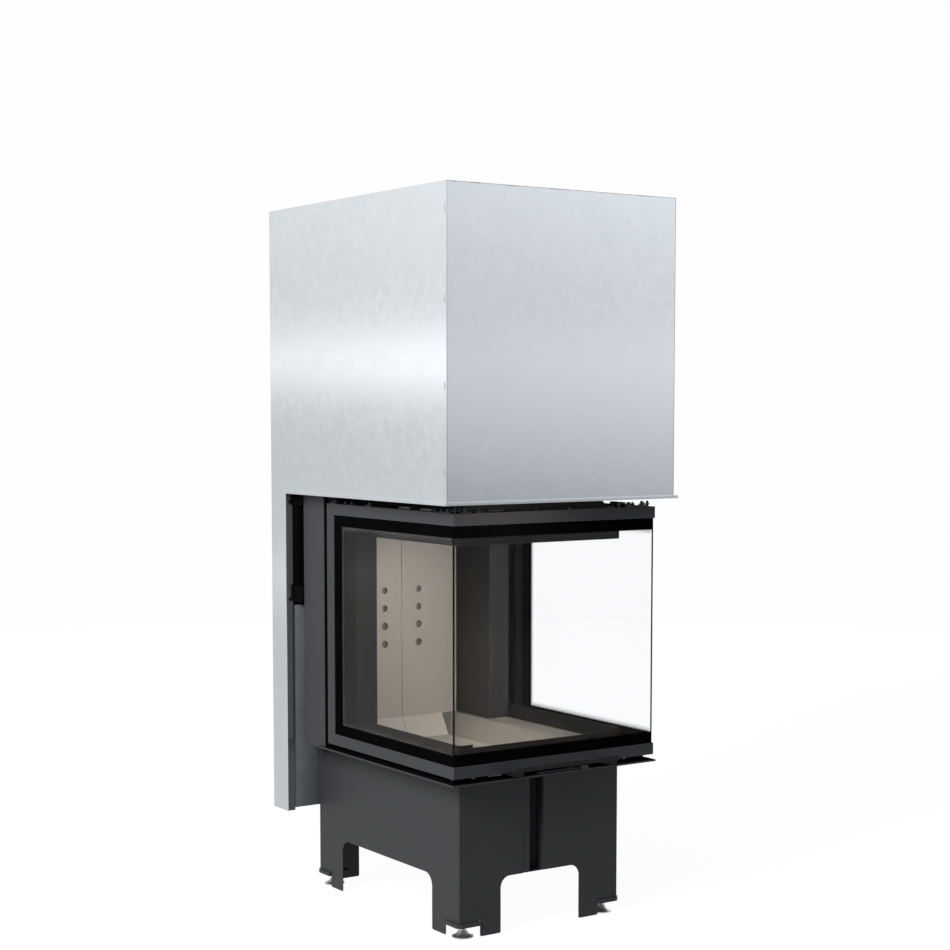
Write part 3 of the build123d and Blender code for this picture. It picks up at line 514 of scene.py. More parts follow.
@dataclass(frozen=True)
class PlatedSteel(Finish):
    """Zinc-plated or bare steel of small parts."""

    name: str = "zinc_plate"
    tint: Colour = (0.66, 0.65, 0.62)
    shade: Colour = (0.50, 0.49, 0.47)
    roughness: float = 0.30
    cloud: float = 60.0
    scratches: float = 420.0
    scratch_stretch: Point = (1.0, 1.0, 9.0)

    def surface(self, graph: Graph) -> Wire:
        """Give the plating a cloudy shade and fine scratches.

        Args:
            graph: Graph of the material.

        Returns:
            The shader.
        """
        place = graph.place()
        cloud = graph.noise(place, self.cloud, 4.0, 0.6)
        scratch = graph.noise(graph.stretched(place, self.scratch_stretch), self.scratches, 2.0)
        roughness = cloud * 0.16 + scratch * 0.06 + self.roughness - 0.08
        return self.skin(graph, cloud, roughness, graph.relief(scratch, 0.15, 0.05 * MM), 1.0)


@dataclass(frozen=True)
class MouldedNylon(Finish):
    """Off-white nylon of the rollers."""

    name: str = "roller_nylon"
    tint: Colour = (0.78, 0.76, 0.70)
    shade: Colour = (0.66, 0.64, 0.58)
    cloud: float = 80.0
    grain: float = 900.0

    def surface(self, graph: Graph) -> Wire:
        """Give the nylon a faint cloud and a satin skin.

        Args:
            graph: Graph of the material.

        Returns:
            The shader.
        """
        place = graph.place()
        cloud = graph.noise(place, self.cloud, 3.0)
        normal = graph.relief(graph.noise(place, self.grain), 0.1, 0.05 * MM)
        return self.skin(graph, cloud, cloud * 0.1 + 0.33, normal)


@dataclass(frozen=True)
class WireRope(Finish):
    """Laid steel wires of the lift cables."""

    name: str = "wire_rope"
    tint: Colour = (0.58, 0.58, 0.57)
    shade: Colour = (0.22, 0.22, 0.21)
    wires: float = 1500.0
    wire_stretch: Point = (1.0, 1.0, 0.6)

    def surface(self, graph: Graph) -> Wire:
        """Darken the grooves between the wires with painted shade."""
        strand = graph.noise(graph.stretched(graph.place(), self.wire_stretch), self.wires, 1.0)
        return self.skin(graph, strand, strand * 0.2 + 0.3, graph.relief(strand, 0.5, 0.1 * MM), 1.0)


@dataclass(frozen=True)
class StudioFloor(Finish):
    """Plain pale floor of the studio, which glows softly so that it meets the room without an edge."""

    name: str = "studio_floor"
    tint: Colour = (0.035, 0.035, 0.035)
    glow: float = 0.958
    lit: float = 0.62

    def surface(self, graph: Graph) -> Wire:
        """Give the floor a plain pale colour and a calmer light on the object.

        Args:
            graph: Graph of the material.

        Returns:
            The shader.
        """
        glow = graph.seen() * (self.glow - self.lit) + self.lit
        light = graph.add("Emission", "Emission", {"Color": WHITE, "Strength": glow})
        matt = graph.add("BsdfDiffuse", "BSDF", {"Color": self.tint, "Roughness": 0.5})
        return graph.add("AddShader", "Shader", {"Shader": light, "Shader_001": matt})


FINE_GRAIN = 0.004 * MM
FAINT_GRAIN = 0.0015 * MM
SHEET = GalvanisedSheet()
# A rougher copy of the galvanised sheet whose far darker tint is painted shade: on the casing's inside, the
# front panel's slot end and the top frame's tabs.
SHADED_SHEET = GalvanisedSheet("galvanised_inside", (0.185, 0.198, 0.212), (0.135, 0.145, 0.158), 0.45, 0.3)
# A very dark copy of the galvanised sheet that paints deep shade: on the cover plates between the casing's
# flanges and on the top frame's front faces.
DEEP_SHADED_SHEET = GalvanisedSheet("galvanised_cover", (0.098, 0.107, 0.116), (0.073, 0.081, 0.089), 0.42, 0.3)
PAINT = StovePaint()
BLACK = StovePaint("black_paint", (0.0055, 0.0055, 0.0058), (0.0035, 0.0035, 0.0037), 0.42, 0.16)
# A darker copy of the stove paint that paints the shade inside the firebox: on the left column, the sill rail
# and the pan.
SHADED_FIREBOX_PAINT = StovePaint("firebox_paint", (0.0092, 0.0081, 0.0070), (0.0058, 0.0050, 0.0043), 0.55, 0.1, FAINT_GRAIN)
# A warm brown copy of the stove paint that paints the shade on the firebox's rear wall.
SHADED_WALL_PAINT = StovePaint(
    "firebox_wall_paint", (0.0250, 0.0205, 0.0168), (0.0162, 0.0132, 0.0108), 0.55, 0.14, FINE_GRAIN
)
# The right column's paint in two copies: a darker one that paints shade on its left-facing sides, and a
# lighter one that paints light on the rest of it.
SHADED_SIDE_PAINT = StovePaint(
    "firebox_side_paint", (0.0230, 0.0195, 0.0168), (0.0150, 0.0127, 0.0109), 0.55, 0.14, FINE_GRAIN
)
LIT_COLUMN_PAINT = StovePaint(
    "column_paint", (0.0400, 0.0380, 0.0392), (0.0290, 0.0274, 0.0284), 0.5, 0.16, FINE_GRAIN
)
# Near-black paint without reflections that paints shadow: on the ledge plate's top under the door, the guide
# columns' front faces and the dark sheets behind the casing's flanges. The black ties and hood brackets wear
# it too, made darker as painted shade.
SHADOW_PAINT = StovePaint("tie_paint", (0.0024, 0.0024, 0.0026), (0.0014, 0.0014, 0.0015), 0.75, 0.0)
CLAY = Fireclay("fireclay", (0.32, 0.288, 0.238), (0.25, 0.224, 0.183))
# Two copies of one fireclay that paint light and shade on the hearth: the darker one paints shade, the lighter
# one paints light.
SHADED_CLAY = Fireclay("fireclay_side", (0.172, 0.153, 0.125), (0.134, 0.119, 0.097))
LIT_CLAY = Fireclay("fireclay_pale", (0.645, 0.583, 0.502), (0.538, 0.482, 0.411))
PANEL_CLAY = Fireclay("fireclay_panel", (0.535, 0.482, 0.412), (0.445, 0.398, 0.337))
# A darker copy of the panel clay that paints shade inside the back panels' holes.
HOLE_SHADE_CLAY = Fireclay("fireclay_holes", (0.33, 0.290, 0.238), (0.24, 0.208, 0.168))
GLASS = PrintedGlass()
ZINC = PlatedSteel()
FOOT_ZINC = PlatedSteel("foot_zinc", (0.83, 0.82, 0.80), (0.70, 0.69, 0.67), 0.38)
DARK_STEEL = PlatedSteel("dark_steel", (0.075, 0.070, 0.064), (0.035, 0.033, 0.030), 0.36)
SLIDE_STEEL = PlatedSteel("slide_steel", (0.135, 0.120, 0.105), (0.075, 0.067, 0.060), 0.42)
NYLON = MouldedNylon()
ROPE = WireRope()


@dataclass(frozen=True)
class Bar:
    """A round or six-sided bar of a fastener, in millimetres. Its far rim is rounded off."""

    radius: float
    length: float
    sides: int
    rim: float
    lift: float = 0.0


STUD = (Bar(2.6, 13.0, 16, 0.5), Bar(4.8, 4.0, 6, 0.5, 4.0))
BOLT = (Bar(6.0, 1.0, 24, 0.3), Bar(4.4, 3.2, 6, 0.5, 1.0))
SIDE_BOLT = (Bar(4.8, 4.2, 6, 0.6), Bar(2.5, 7.5, 16, 0.4))
CLIP_POST = (Bar(3.4, 10.0, 16, 0.5), Bar(5.0, 3.6, 6, 0.5, 7.4))
PIN = (Bar(2.2, 9.0, 16, 0.5), Bar(5.0, 4.0, 6, 0.6))


def placed(name: str, data: bpy.types.ID) -> bpy.types.Object:
    """Put an object with this data into the scene.

    Args:
        name: Name of the object.
        data: Its mesh, light or camera.

    Returns:
        The object.
    """
    made = bpy.data.objects.new(name, data)
    bpy.context.scene.collection.objects.link(made)
    return made


class Blank:
    """A bmesh that bmesh operators shape into one finished piece."""

    def __init__(self) -> None:
        """Start empty."""
        self.mesh = bmesh.new()

    def _edges_of(self, vertices: list[bmesh.types.BMVert]) -> list[bmesh.types.BMEdge]:
        """List the edges whose two ends are among these vertices."""
        chosen = set(vertices)
        return [e for e in self.mesh.edges if e.verts[0] in chosen and e.verts[1] in chosen]

    def _bevel(self, edges: list[bmesh.types.BMEdge], width: float) -> None:
        """Round edges off to this width."""
        shape = {"offset_type": "OFFSET", "profile": 0.5, "segments": BEVEL_FACES, "affect": "EDGES"}
        bmesh.ops.bevel(self.mesh, geom=edges, offset=width, clamp_overlap=True, material=-1, **shape)

    def _stand(self, vertices: list[bmesh.types.BMVert], foot: Point, axis: Point) -> None:
        """Turn vertices that stand along Z to another axis and move them to their foot.

        Args:
            vertices: Vertices that stand on the origin.
            foot: Where they stand.
            axis: Axis that they stand along.
        """
        turn = Vector(UP).rotation_difference(Vector(axis)).to_matrix()
        bmesh.ops.rotate(self.mesh, cent=ORIGIN, matrix=turn, verts=vertices)
        bmesh.ops.translate(self.mesh, vec=foot, verts=vertices)

    def box(self, low: Point, high: Point, edge: float) -> None:
        """Add a block with rounded edges.

        Args:
            low: Lowest corner.
            high: Highest corner.
            edge: Width of the rounded edges.
        """
        made = bmesh.ops.create_cube(self.mesh, size=1.0)["verts"]
        size = [b - a for a, b in zip(low, high)]
        middle = [(a + b) / 2 for a, b in zip(low, high)]
        bmesh.ops.scale(self.mesh, vec=size, verts=made)
        bmesh.ops.translate(self.mesh, vec=middle, verts=made)
        self._bevel(self._edges_of(made), edge)

    def prism(self, foot: Point, axis: Point, bar: Bar) -> None:
        """Add a round or six-sided bar with a rounded rim at its far end.

        Args:
            foot: Centre of the first end.
            axis: Direction of the bar.
            bar: Size of the bar.
        """
        radius, length = mm(bar.radius, bar.length)
        made = bmesh.ops.create_cone(
            self.mesh, cap_ends=True, segments=bar.sides, radius1=radius, radius2=radius, depth=length
        )["verts"]
        bmesh.ops.translate(self.mesh, vec=(0.0, 0.0, length / 2), verts=made)
        others = set(self.mesh.verts) - set(made)
        rim = [e for e in self._edges_of(made) if all(v.co.z > length * 0.999 for v in e.verts)]
        self._bevel(rim, bar.rim * MM)
        self._stand([v for v in self.mesh.verts if v not in others], foot, axis)

    def fastener(self, foot: Point, axis: Point, bars: tuple[Bar, ...]) -> None:
        """Add the bars of an upright or hanging fastener.

        Args:
            foot: Where it stands or hangs.
            axis: Up or down.
            bars: Its bars.
        """
        x, y, z = foot
        for bar in bars:
            self.prism((x, y, z + axis[2] * bar.lift * MM), axis, bar)

    def lathe(self, foot: Point, axis: Point, profile: Sequence[Lengths], steps: int) -> None:
        """Add a turned shape.

        Args:
            foot: Where the axis starts.
            axis: Direction of the axis.
            profile: Radius and height of each point, from the first end to the last.
            steps: Faces round the axis.
        """
        others = set(self.mesh.verts)
        line = [self.mesh.verts.new((radius, 0.0, height)) for radius, height in profile]
        edges = [self.mesh.edges.new(pair) for pair in zip(line, line[1:])]
        turn = {"cent": ORIGIN, "axis": UP, "angle": 2 * math.pi, "steps": steps, "use_merge": True}
        bmesh.ops.spin(self.mesh, geom=line + edges, **turn)
        made = [v for v in self.mesh.verts if v not in others]
        bmesh.ops.remove_doubles(self.mesh, verts=made, dist=0.001 * MM)
        self._stand([v for v in self.mesh.verts if v not in others], foot, axis)

    def rope(self, start: Vector, radius: float, strands: int, twist: float, moves: list[Matrix]) -> None:
        """Add a laid rope: a lobed ring that is extruded move by move and turned about its own axis.

        Args:
            start: Centre of the first ring, where the rope rises straight up.
            radius: Radius of the rope.
            strands: Number of lobes.
            twist: Turn of each move about the rope's axis, in radians.
            moves: Rigid moves from each ring to the next.
        """
        centre, along = Vector(start), Vector(UP)
        lobe = (1.0, 0.93, 0.74, 0.93)
        sides = len(lobe) * strands
        ring = bmesh.ops.create_circle(self.mesh, cap_ends=True, segments=sides, radius=radius)["verts"]
        for index, vertex in enumerate(ring):
            vertex.co *= lobe[index % len(lobe)]
        bmesh.ops.translate(self.mesh, vec=centre, verts=ring)
        edges = self._edges_of(ring)
        for move in moves:
            made = bmesh.ops.extrude_edge_only(self.mesh, edges=edges)["geom"]
            ring = [item for item in made if isinstance(item, bmesh.types.BMVert)]
            edges = self._edges_of(ring)
            bmesh.ops.transform(self.mesh, matrix=move, space=Matrix.Identity(4), verts=ring)
            centre, along = move @ centre, move.to_3x3() @ along
            bmesh.ops.rotate(self.mesh, cent=centre, matrix=Matrix.Rotation(twist, 3, along), verts=ring)
        bmesh.ops.contextual_create(self.mesh, geom=edges)

    def copy_of(self, node: str, edge: float) -> None:
        """Take a solid of the model and round its sharp edges off.

        Args:
            node: Name of the solid.
            edge: Width of the rounded edges.
        """
        self.mesh.from_mesh(frame["nodes"][node].data)
        bmesh.ops.remove_doubles(self.mesh, verts=self.mesh.verts[:], dist=MERGE_DISTANCE)
        bmesh.ops.dissolve_limit(
            self.mesh, angle_limit=FLAT_ANGLE, verts=self.mesh.verts[:], edges=self.mesh.edges[:]
        )
        sharp = [e for e in self.mesh.edges if e.is_manifold and e.calc_face_angle(0.0) > SHARP_ANGLE]
        self._bevel(sharp, edge)

    def piece(
        self,
        name: str,
        finish: Finish,
        slot: Slot,
        body: str,
        smooth: float,
        second: tuple[Finish, FaceTest] | None = None,
    ) -> bpy.types.Object:
        """Turn the blank into an object that rides on a body.

        Args:
            name: Name of the piece.
            finish: Finish of its surface.
            slot: Material slot of the record; not used.
            body: Body that it rides on, or nothing for a piece that rides on no body.
            smooth: Edges under this angle are shaded smooth, in degrees.
            second: Another finish, and the test for the faces that wear it.

        Returns:
            The object.
        """
        bmesh.ops.recalc_face_normals(self.mesh, faces=self.mesh.faces[:])
        for face in self.mesh.faces:
            face.smooth = True
            face.material_index = 1 if second and second[1](face) else 0
        for edge in self.mesh.edges:
            edge.smooth = edge.calc_face_angle(math.pi) < math.radians(smooth)
        data = bpy.data.meshes.new(name)
        self.mesh.to_mesh(data)
        self.mesh.free()
        data.materials.append(finish.material())
        if second:
            data.materials.append(second[0].material())
        made = placed(name, data)
        if body:
            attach(made, body)
        log.info("%s: %d faces", name, len(data.polygons))
        return made


def dress(node: str, finish: Finish) -> None:
    """Give a solid of the model its finish.

    Args:
        node: Name of the solid.
        finish: Finish of its surface.
    """
    solid = frame["nodes"][node]
    if not solid.material_slots:
        solid.data.materials.append(None)
    for place in solid.material_slots:
        place.material = finish.material()
    log.info("%s wears %s", node, finish.name)


def body_of(node: str) -> str:
    """Name the body that a solid of the model rides on."""
    return frame["nodes"][node]["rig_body"]


def islands(node: str) -> list[tuple[Vector, Vector]]:
    """Find the separate bodies of a solid.

    Args:
        node: Name of the solid.

    Returns:
        Lowest and highest corner of each body, sorted by place.
    """
    mesh = bmesh.new()
    mesh.from_mesh(frame["nodes"][node].data)
    bmesh.ops.remove_doubles(mesh, verts=mesh.verts[:], dist=MERGE_DISTANCE)
    unseen = set(mesh.verts)
    found = []
    while unseen:
        island, to_visit = set(), [next(iter(unseen))]
        while to_visit:
            vertex = to_visit.pop()
            if vertex not in island:
                island.add(vertex)
                to_visit += [e.other_vert(vertex) for e in vertex.link_edges]
        unseen -= island
        low = Vector(min(v.co[axis] for v in island) for axis in range(3))
        high = Vector(max(v.co[axis] for v in island) for axis in range(3))
        found.append((low, high))
    mesh.free()
    return sorted(found, key=lambda corners: tuple(round(value, 4) for value in corners[0]))


@dataclass
class SubAssembly:
    """Part of the fireplace whose solids share finishes."""

    softened: dict[str, tuple[Finish, Slot, float]] = field(default_factory=dict)
    second: dict[str, tuple[Finish, FaceTest]] = field(default_factory=dict)
    dressed: dict[str, Finish] = field(default_factory=dict)

    def _soften(self, finish: Finish, slot: Slot, edge: float, *nodes: str) -> None:
        """Note solids that copies replace, with edges rounded by so many millimetres."""
        for node in nodes:
            self.softened[node] = (finish, slot, edge * MM)

    def build(self) -> None:
        """Dress the solids and add the fittings."""
        for node, (finish, slot, edge) in self.softened.items():
            blank = Blank()
            blank.copy_of(node, edge)
            made = blank.piece(f"{node}_dressed", finish, slot, body_of(node), 47.0, self.second.get(node))
            even = made.modifiers.new("even_faces", "WEIGHTED_NORMAL")
            even.keep_sharp = True
            even.weight = 80
            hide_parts(node)
        for node, finish in self.dressed.items():
            dress(node, finish)
        self.fit()

    def fit(self) -> None:
        """Add the small fittings. Most sub-assemblies have their own."""


@dataclass
class Base(SubAssembly):
    """Bent base with its slot, its corner plates and its feet."""

    foot_profile: tuple[Lengths, ...] = pairs(
        (0.0, 0.0), (23.3, 0.0), (24.2, 0.5), (24.5, 1.5), (24.3, 2.6), (23.1, 3.3), (20.0, 4.3), (16.5, 6.2),
        (13.0, 9.6), (10.0, 13.6), (8.0, 17.4), (7.0, 20.0), (7.0, 25.4), (6.4, 26.0), (5.0, 26.0),
    )
    thread_base: float = 26.5 * MM
    thread_start: float = 26.4 * MM
    thread_crest: float = 5.0 * MM
    thread_root: float = 4.45 * MM
    thread_pitch: float = 1.5 * MM
    spindle_end: float = 4.4 * MM

    def __post_init__(self) -> None:
        """Set which solids are dressed and how."""
        self._soften(PAINT, Slot.PAINT, 0.45, "base_left_shell", "base_right_shell", "base_slot_channel")
        self._soften(PAINT, Slot.PAINT, 0.7, "foot_brackets")

    def fit(self) -> None:
        """Add the turned feet."""
        for row in ("front", "rear"):
            for side in Side:
                self._foot(f"foot_{row}_{side.word}")

    def _foot(self, node: str) -> None:
        """Turn one levelling foot with a rolled rim, a flared cone and a threaded spindle.

        Args:
            node: Name of the foot's solid.
        """
        low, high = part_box(node)
        profile, pitch = list(self.foot_profile), self.thread_pitch
        for turn in range(int((high.z - self.thread_base) / pitch)):
            crest = self.thread_start + turn * pitch
            profile += [(self.thread_crest, crest), (self.thread_root, crest + pitch / 2)]
        profile += [(self.spindle_end, high.z), (0.0, high.z)]
        blank = Blank()
        blank.lathe(((low.x + high.x) / 2, (low.y + high.y) / 2, 0.0), UP, profile, 48)
        made = blank.piece(f"{node}_turned", FOOT_ZINC, Slot.ZINC, body_of(node), 40.0)
        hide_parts(node)


@dataclass
class Hearth(SubAssembly):
    """Ledge plate, pan, sill rail and the fireclay of the hearth."""

    def __post_init__(self) -> None:
        """Set which solids are dressed and how."""
        # The front and right bricks wear painted shade, and the left and back bricks painted light, all of one
        # fireclay.
        self._soften(SHADED_CLAY, Slot.CERAMIC, 0.9, "hearth_front")
        self._soften(LIT_CLAY, Slot.CERAMIC, 0.9, "hearth_left")
        self._soften(SHADED_CLAY, Slot.CERAMIC, 0.9, "hearth_right")
        self._soften(LIT_CLAY, Slot.CERAMIC, 0.9, "hearth_back")
        self._soften(CLAY, Slot.CERAMIC, 0.5, "hearth_floor")
        self._soften(PAINT, Slot.PAINT, 0.5, "ledge_plate")
        # The ledge plate's top, in the gap under the door, is painted near-black as painted shadow.
        self.second["ledge_plate"] = (SHADOW_PAINT, lambda face: face.normal.z > 0.9)
        # The sill rail and the pan wear the darker paint that paints shade inside the firebox.
        self._soften(SHADED_FIREBOX_PAINT, Slot.PAINT, 0.5, "sill_rail")
        self._soften(PAINT, Slot.BLACK, 0.4, "air_lever")
        self.dressed["firebox_pan"] = SHADED_FIREBOX_PAINT
        self.dressed["air_box"] = BLACK


@dataclass
class Firebox(SubAssembly):
    """Columns, back panels, lintel, baffle, dome and collar."""

    hole_depth: float = 2.0 * MM

    def __post_init__(self) -> None:
        """Set which solids are dressed and how."""
        # The left column wears painted shade. The right column wears a lighter copy as painted light, with
        # painted shade on its left-facing faces.
        self._soften(SHADED_FIREBOX_PAINT, Slot.PAINT, 0.5, "column_left")
        self._soften(LIT_COLUMN_PAINT, Slot.PAINT, 0.5, "column_right")
        self.second["column_right"] = (SHADED_SIDE_PAINT, lambda face: face.normal.x < -0.9)
        self._soften(PANEL_CLAY, Slot.CERAMIC, 1.0, "back_panels")
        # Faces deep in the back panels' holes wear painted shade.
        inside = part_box("back_panels")[0].y + self.hole_depth
        self.second["back_panels"] = (HOLE_SHADE_CLAY, lambda face: face.calc_center_median().y > inside)
        self._soften(CLAY, Slot.CERAMIC, 1.5, "baffle_plate")
        self._soften(BLACK, Slot.BLACK, 0.5, "lintel_frame", "flue_collar")
        # The rear wall's warm brown paint is painted shade.
        self.dressed["rear_wall"] = SHADED_WALL_PAINT
        self.dressed["smoke_dome"] = BLACK


@dataclass
class Door(SubAssembly):
    """Bars, side frames, panes, handle, clamps and their fittings."""

    bar_line: float = at_depth(14.0 * MM)
    side_line: float = 262.0 * MM
    knob_line: float = at_depth(7.0 * MM)
    pin_line: float = at_depth(26.0 * MM)
    pin_aside: float = 263.0 * MM
    studs: Lengths = mm(-262.0, -251.0, -240.0, 246.0, 263.0)
    bolts: Lengths = mm(-224.0, -206.0, -52.0, 38.0, 150.0, 163.0)
    side_bolts: Lengths = mm(30.0, 66.0, 447.0, 474.0, 512.0)
    slide: Lengths = mm(-176.0, -138.0)
    side_slides: tuple[Lengths, ...] = pairs((98.0, 144.0), (188.0, 234.0))
    side_slide_edges: Lengths = mm(256.0, 268.0)
    clips: tuple[Lengths, ...] = pairs((172.0, 184.0), (194.0, 224.0))
    knobs: Lengths = mm(-222.0, -96.0, 96.0, 166.0, 192.0)
    knob_profile: tuple[Lengths, ...] = pairs(
        (0.0, 4.6), (3.0, 4.4), (5.6, 3.2), (6.6, 1.2), (6.6, 0.0), (0.0, 0.0)
    )
    plate: Lengths = mm(-184.0, -148.0)

    def __post_init__(self) -> None:
        """Set which solids are dressed and how."""
        self._soften(PAINT, Slot.PAINT, 0.7, "front_bottom_bar", "front_top_bar")
        self._soften(PAINT, Slot.PAINT, 0.7, "side_frame_left", "side_frame_right")
        self._soften(BLACK, Slot.BLACK, 0.4, "door_handle")
        self._soften(DARK_STEEL, Slot.BLACK, 0.4, "door_clamps")
        for name in ("glass_front", "glass_left", "glass_right"):
            self.dressed[name] = GLASS

    def fit(self) -> None:
        """Add the small fittings above the top bar and under the bottom bar."""
        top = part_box("front_top_bar")[1].z
        self._top_fasteners(top)
        self._top_blocks(top)
        self._bottom_fittings(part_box("front_bottom_bar")[0].z)

    def _top_fasteners(self, top: float) -> None:
        """Set studs and bolts on the top bar.

        Args:
            top: Height of the bar's upper face.
        """
        studs = Blank()
        for x in self.studs:
            studs.fastener((x, self.bar_line, top), UP, STUD)
        studs.piece("top_bar_studs", DARK_STEEL, Slot.BLACK, "door", 30.0)
        bolts = Blank()
        for x in self.bolts:
            bolts.fastener((x, self.bar_line, top), UP, BOLT)
        for depth in self.side_bolts:
            for side in Side:
                bolts.fastener((side.value * self.side_line, at_depth(depth), top), UP, SIDE_BOLT)
        bolts.piece("top_bar_bolts", DARK_STEEL, Slot.BLACK, "door", 30.0)

    def _top_blocks(self, top: float) -> None:
        """Set slides, and clips on posts, on the top bar.

        Args:
            top: Height of the bar's upper face.
        """
        slides, clips, line = Blank(), Blank(), self.bar_line
        left, right = self.slide
        slides.box((left, line - 4.0 * MM, top), (right, line + 4.0 * MM, top + 4.5 * MM), 1.6 * MM)
        for front, back in self.side_slides:
            for side in Side:
                low, high = side.span(*self.side_slide_edges)
                slides.box((low, at_depth(front), top), (high, at_depth(back), top + 6.0 * MM), 1.2 * MM)
        slides.piece("top_bar_slides", SLIDE_STEEL, Slot.BLACK, "door", 30.0)
        for low, high in self.clips:
            corner = (high, line + 5.0 * MM, top + 7.4 * MM)
            clips.box((low, line - 5.0 * MM, top + 6.0 * MM), corner, 0.4 * MM)
            clips.fastener(((low + high) / 2, line, top), UP, CLIP_POST)
        clips.piece("top_bar_clips", DARK_STEEL, Slot.BLACK, "door", 30.0)

    def _bottom_fittings(self, bottom: float) -> None:
        """Hang pins, knobs and a plate under the bottom bar.

        Args:
            bottom: Height of the bar's lower face.
        """
        pins, plate, line = Blank(), Blank(), self.knob_line
        for side in Side:
            pins.fastener((side.value * self.pin_aside, self.pin_line, bottom), DOWN, PIN)
        for x in self.knobs:
            pins.lathe((x, line, bottom), DOWN, self.knob_profile, 24)
        pins.piece("bottom_bar_bolts", SLIDE_STEEL, Slot.BLACK, "door", 30.0)
        low, high = self.plate
        plate.box((low, line - 5.0 * MM, bottom - 3.6 * MM), (high, line + 6.0 * MM, bottom), 1.0 * MM)
        plate.piece("bottom_bar_plates", SLIDE_STEEL, Slot.BLACK, "door", 30.0)


@dataclass
class LiftGear(SubAssembly):
    """Guide columns, rails, carriages, rollers, shaft, pulleys, ropes and counterweights."""

    rope_radius: float = 2.0 * MM
    rope_lay: float = 28.0 * MM
    rope_step: float = 3.5 * MM
    strands: int = 6
    wrap_steps: int = 54
    blend_margin: float = 30.0 * MM
    sleeve_radius: float = 4.2 * MM
    sleeve_length: float = 18.0 * MM

    def __post_init__(self) -> None:
        """Set which solids are dressed and how."""
        for side in Side:
            column = f"guide_column_{side.word}"
            self._soften(PAINT, Slot.PAINT, 0.4, column)
            # Their front faces, seen through the gap behind the door's side frames, are painted near-black as
            # painted shadow.
            self.second[column] = (SHADOW_PAINT, lambda face: face.normal.y < -0.9)
            self._soften(BLACK, Slot.PAINT, 0.4, f"carriage_{side.word}")
            self._soften(BLACK, Slot.BLACK, 0.8, f"counterweight_{side.word}")
            for row in ("lower", "upper"):
                self._soften(NYLON, Slot.ROLLER, 0.8, f"roller_{side.word}_{row}")
        self._soften(PAINT, Slot.PAINT, 0.4, "bearing_brackets")
        self._soften(BLACK, Slot.BLACK, 0.5, "pulleys")
        self.dressed["guide_rails"] = ZINC
        self.dressed["lift_shaft"] = ZINC

    def fit(self) -> None:
        """Lay the two wire ropes over the pulleys."""
        for side in Side:
            self._rope(side)

    def _run(self, start: Vector, end: Vector, name: str) -> bpy.types.Object:
        """Lay a straight stretch of rope.

        Args:
            start: Lower end.
            end: Upper end.
            name: Name of the piece.

        Returns:
            The stretch.
        """
        steps = round((end - start).length / self.rope_step)
        step = Matrix.Translation((end - start) / steps)
        twist = 2 * math.pi * (end - start).length / steps / self.rope_lay
        blank = Blank()
        blank.rope(start, self.rope_radius, self.strands, twist, [step] * steps)
        return blank.piece(name, ROPE, Slot.ZINC, "", 50.0)

    def _sleeve(self, foot: Vector, name: str, body: str) -> None:
        """Press a sleeve round a rope's end.

        Args:
            foot: Lower end of the sleeve.
            name: Name of the piece.
            body: Body that it rides on.
        """
        inner, outer, length = self.rope_radius, self.sleeve_radius, self.sleeve_length
        profile = [(inner, 0.0), (outer - 0.8 * MM, 0.0), (outer, 0.8 * MM), (outer, length - 1.6 * MM)]
        profile += [(outer - 1.0 * MM, length), (inner, length), (inner, 0.0)]
        blank = Blank()
        blank.lathe(foot, UP, profile, 24)
        blank.piece(name, ZINC, Slot.ZINC, body, 40.0)

    def _rope(self, side: Side) -> None:
        """Lay one rope from the carriage over its pulley to the counterweight.

        Args:
            side: Side of the fireplace.
        """
        cable, weight, word = f"cable_{side.word}", f"counterweight_{side.word}", side.word
        low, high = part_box(cable)
        x, radius = (low.x + high.x) / 2, self.rope_radius
        front, back = low.y + radius, high.y - radius
        bend = (back - front) / 2
        axis = Vector((x, front + bend, high.z - radius - bend))
        carriage_end = Vector((x, front, low.z))
        weight_end = Vector((x, back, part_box(weight)[1].z))
        rise, fall = Vector((x, front, axis.z)), Vector((x, back, axis.z))
        run = self._run(carriage_end, rise, f"rope_{word}_door_run")
        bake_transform(run)
        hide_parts(cable)
        run = self._run(weight_end, fall, f"rope_{word}_weight_run")
        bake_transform(run)
        turn = Matrix.Rotation(-math.pi / self.wrap_steps, 4, "X")
        move = Matrix.Translation(axis) @ turn @ Matrix.Translation(-axis)
        twist = 2 * math.pi * (math.pi * bend / self.wrap_steps) / self.rope_lay
        wrap = Blank()
        wrap.rope(rise, radius, self.strands, twist, [move] * self.wrap_steps)
        wrap.piece(f"rope_{word}_wrap", ROPE, Slot.ZINC, "insert", 50.0)
        self._sleeve(carriage_end, f"rope_{word}_door_sleeve", "door")
        self._sleeve(weight_end, f"rope_{word}_weight_sleeve", weight)


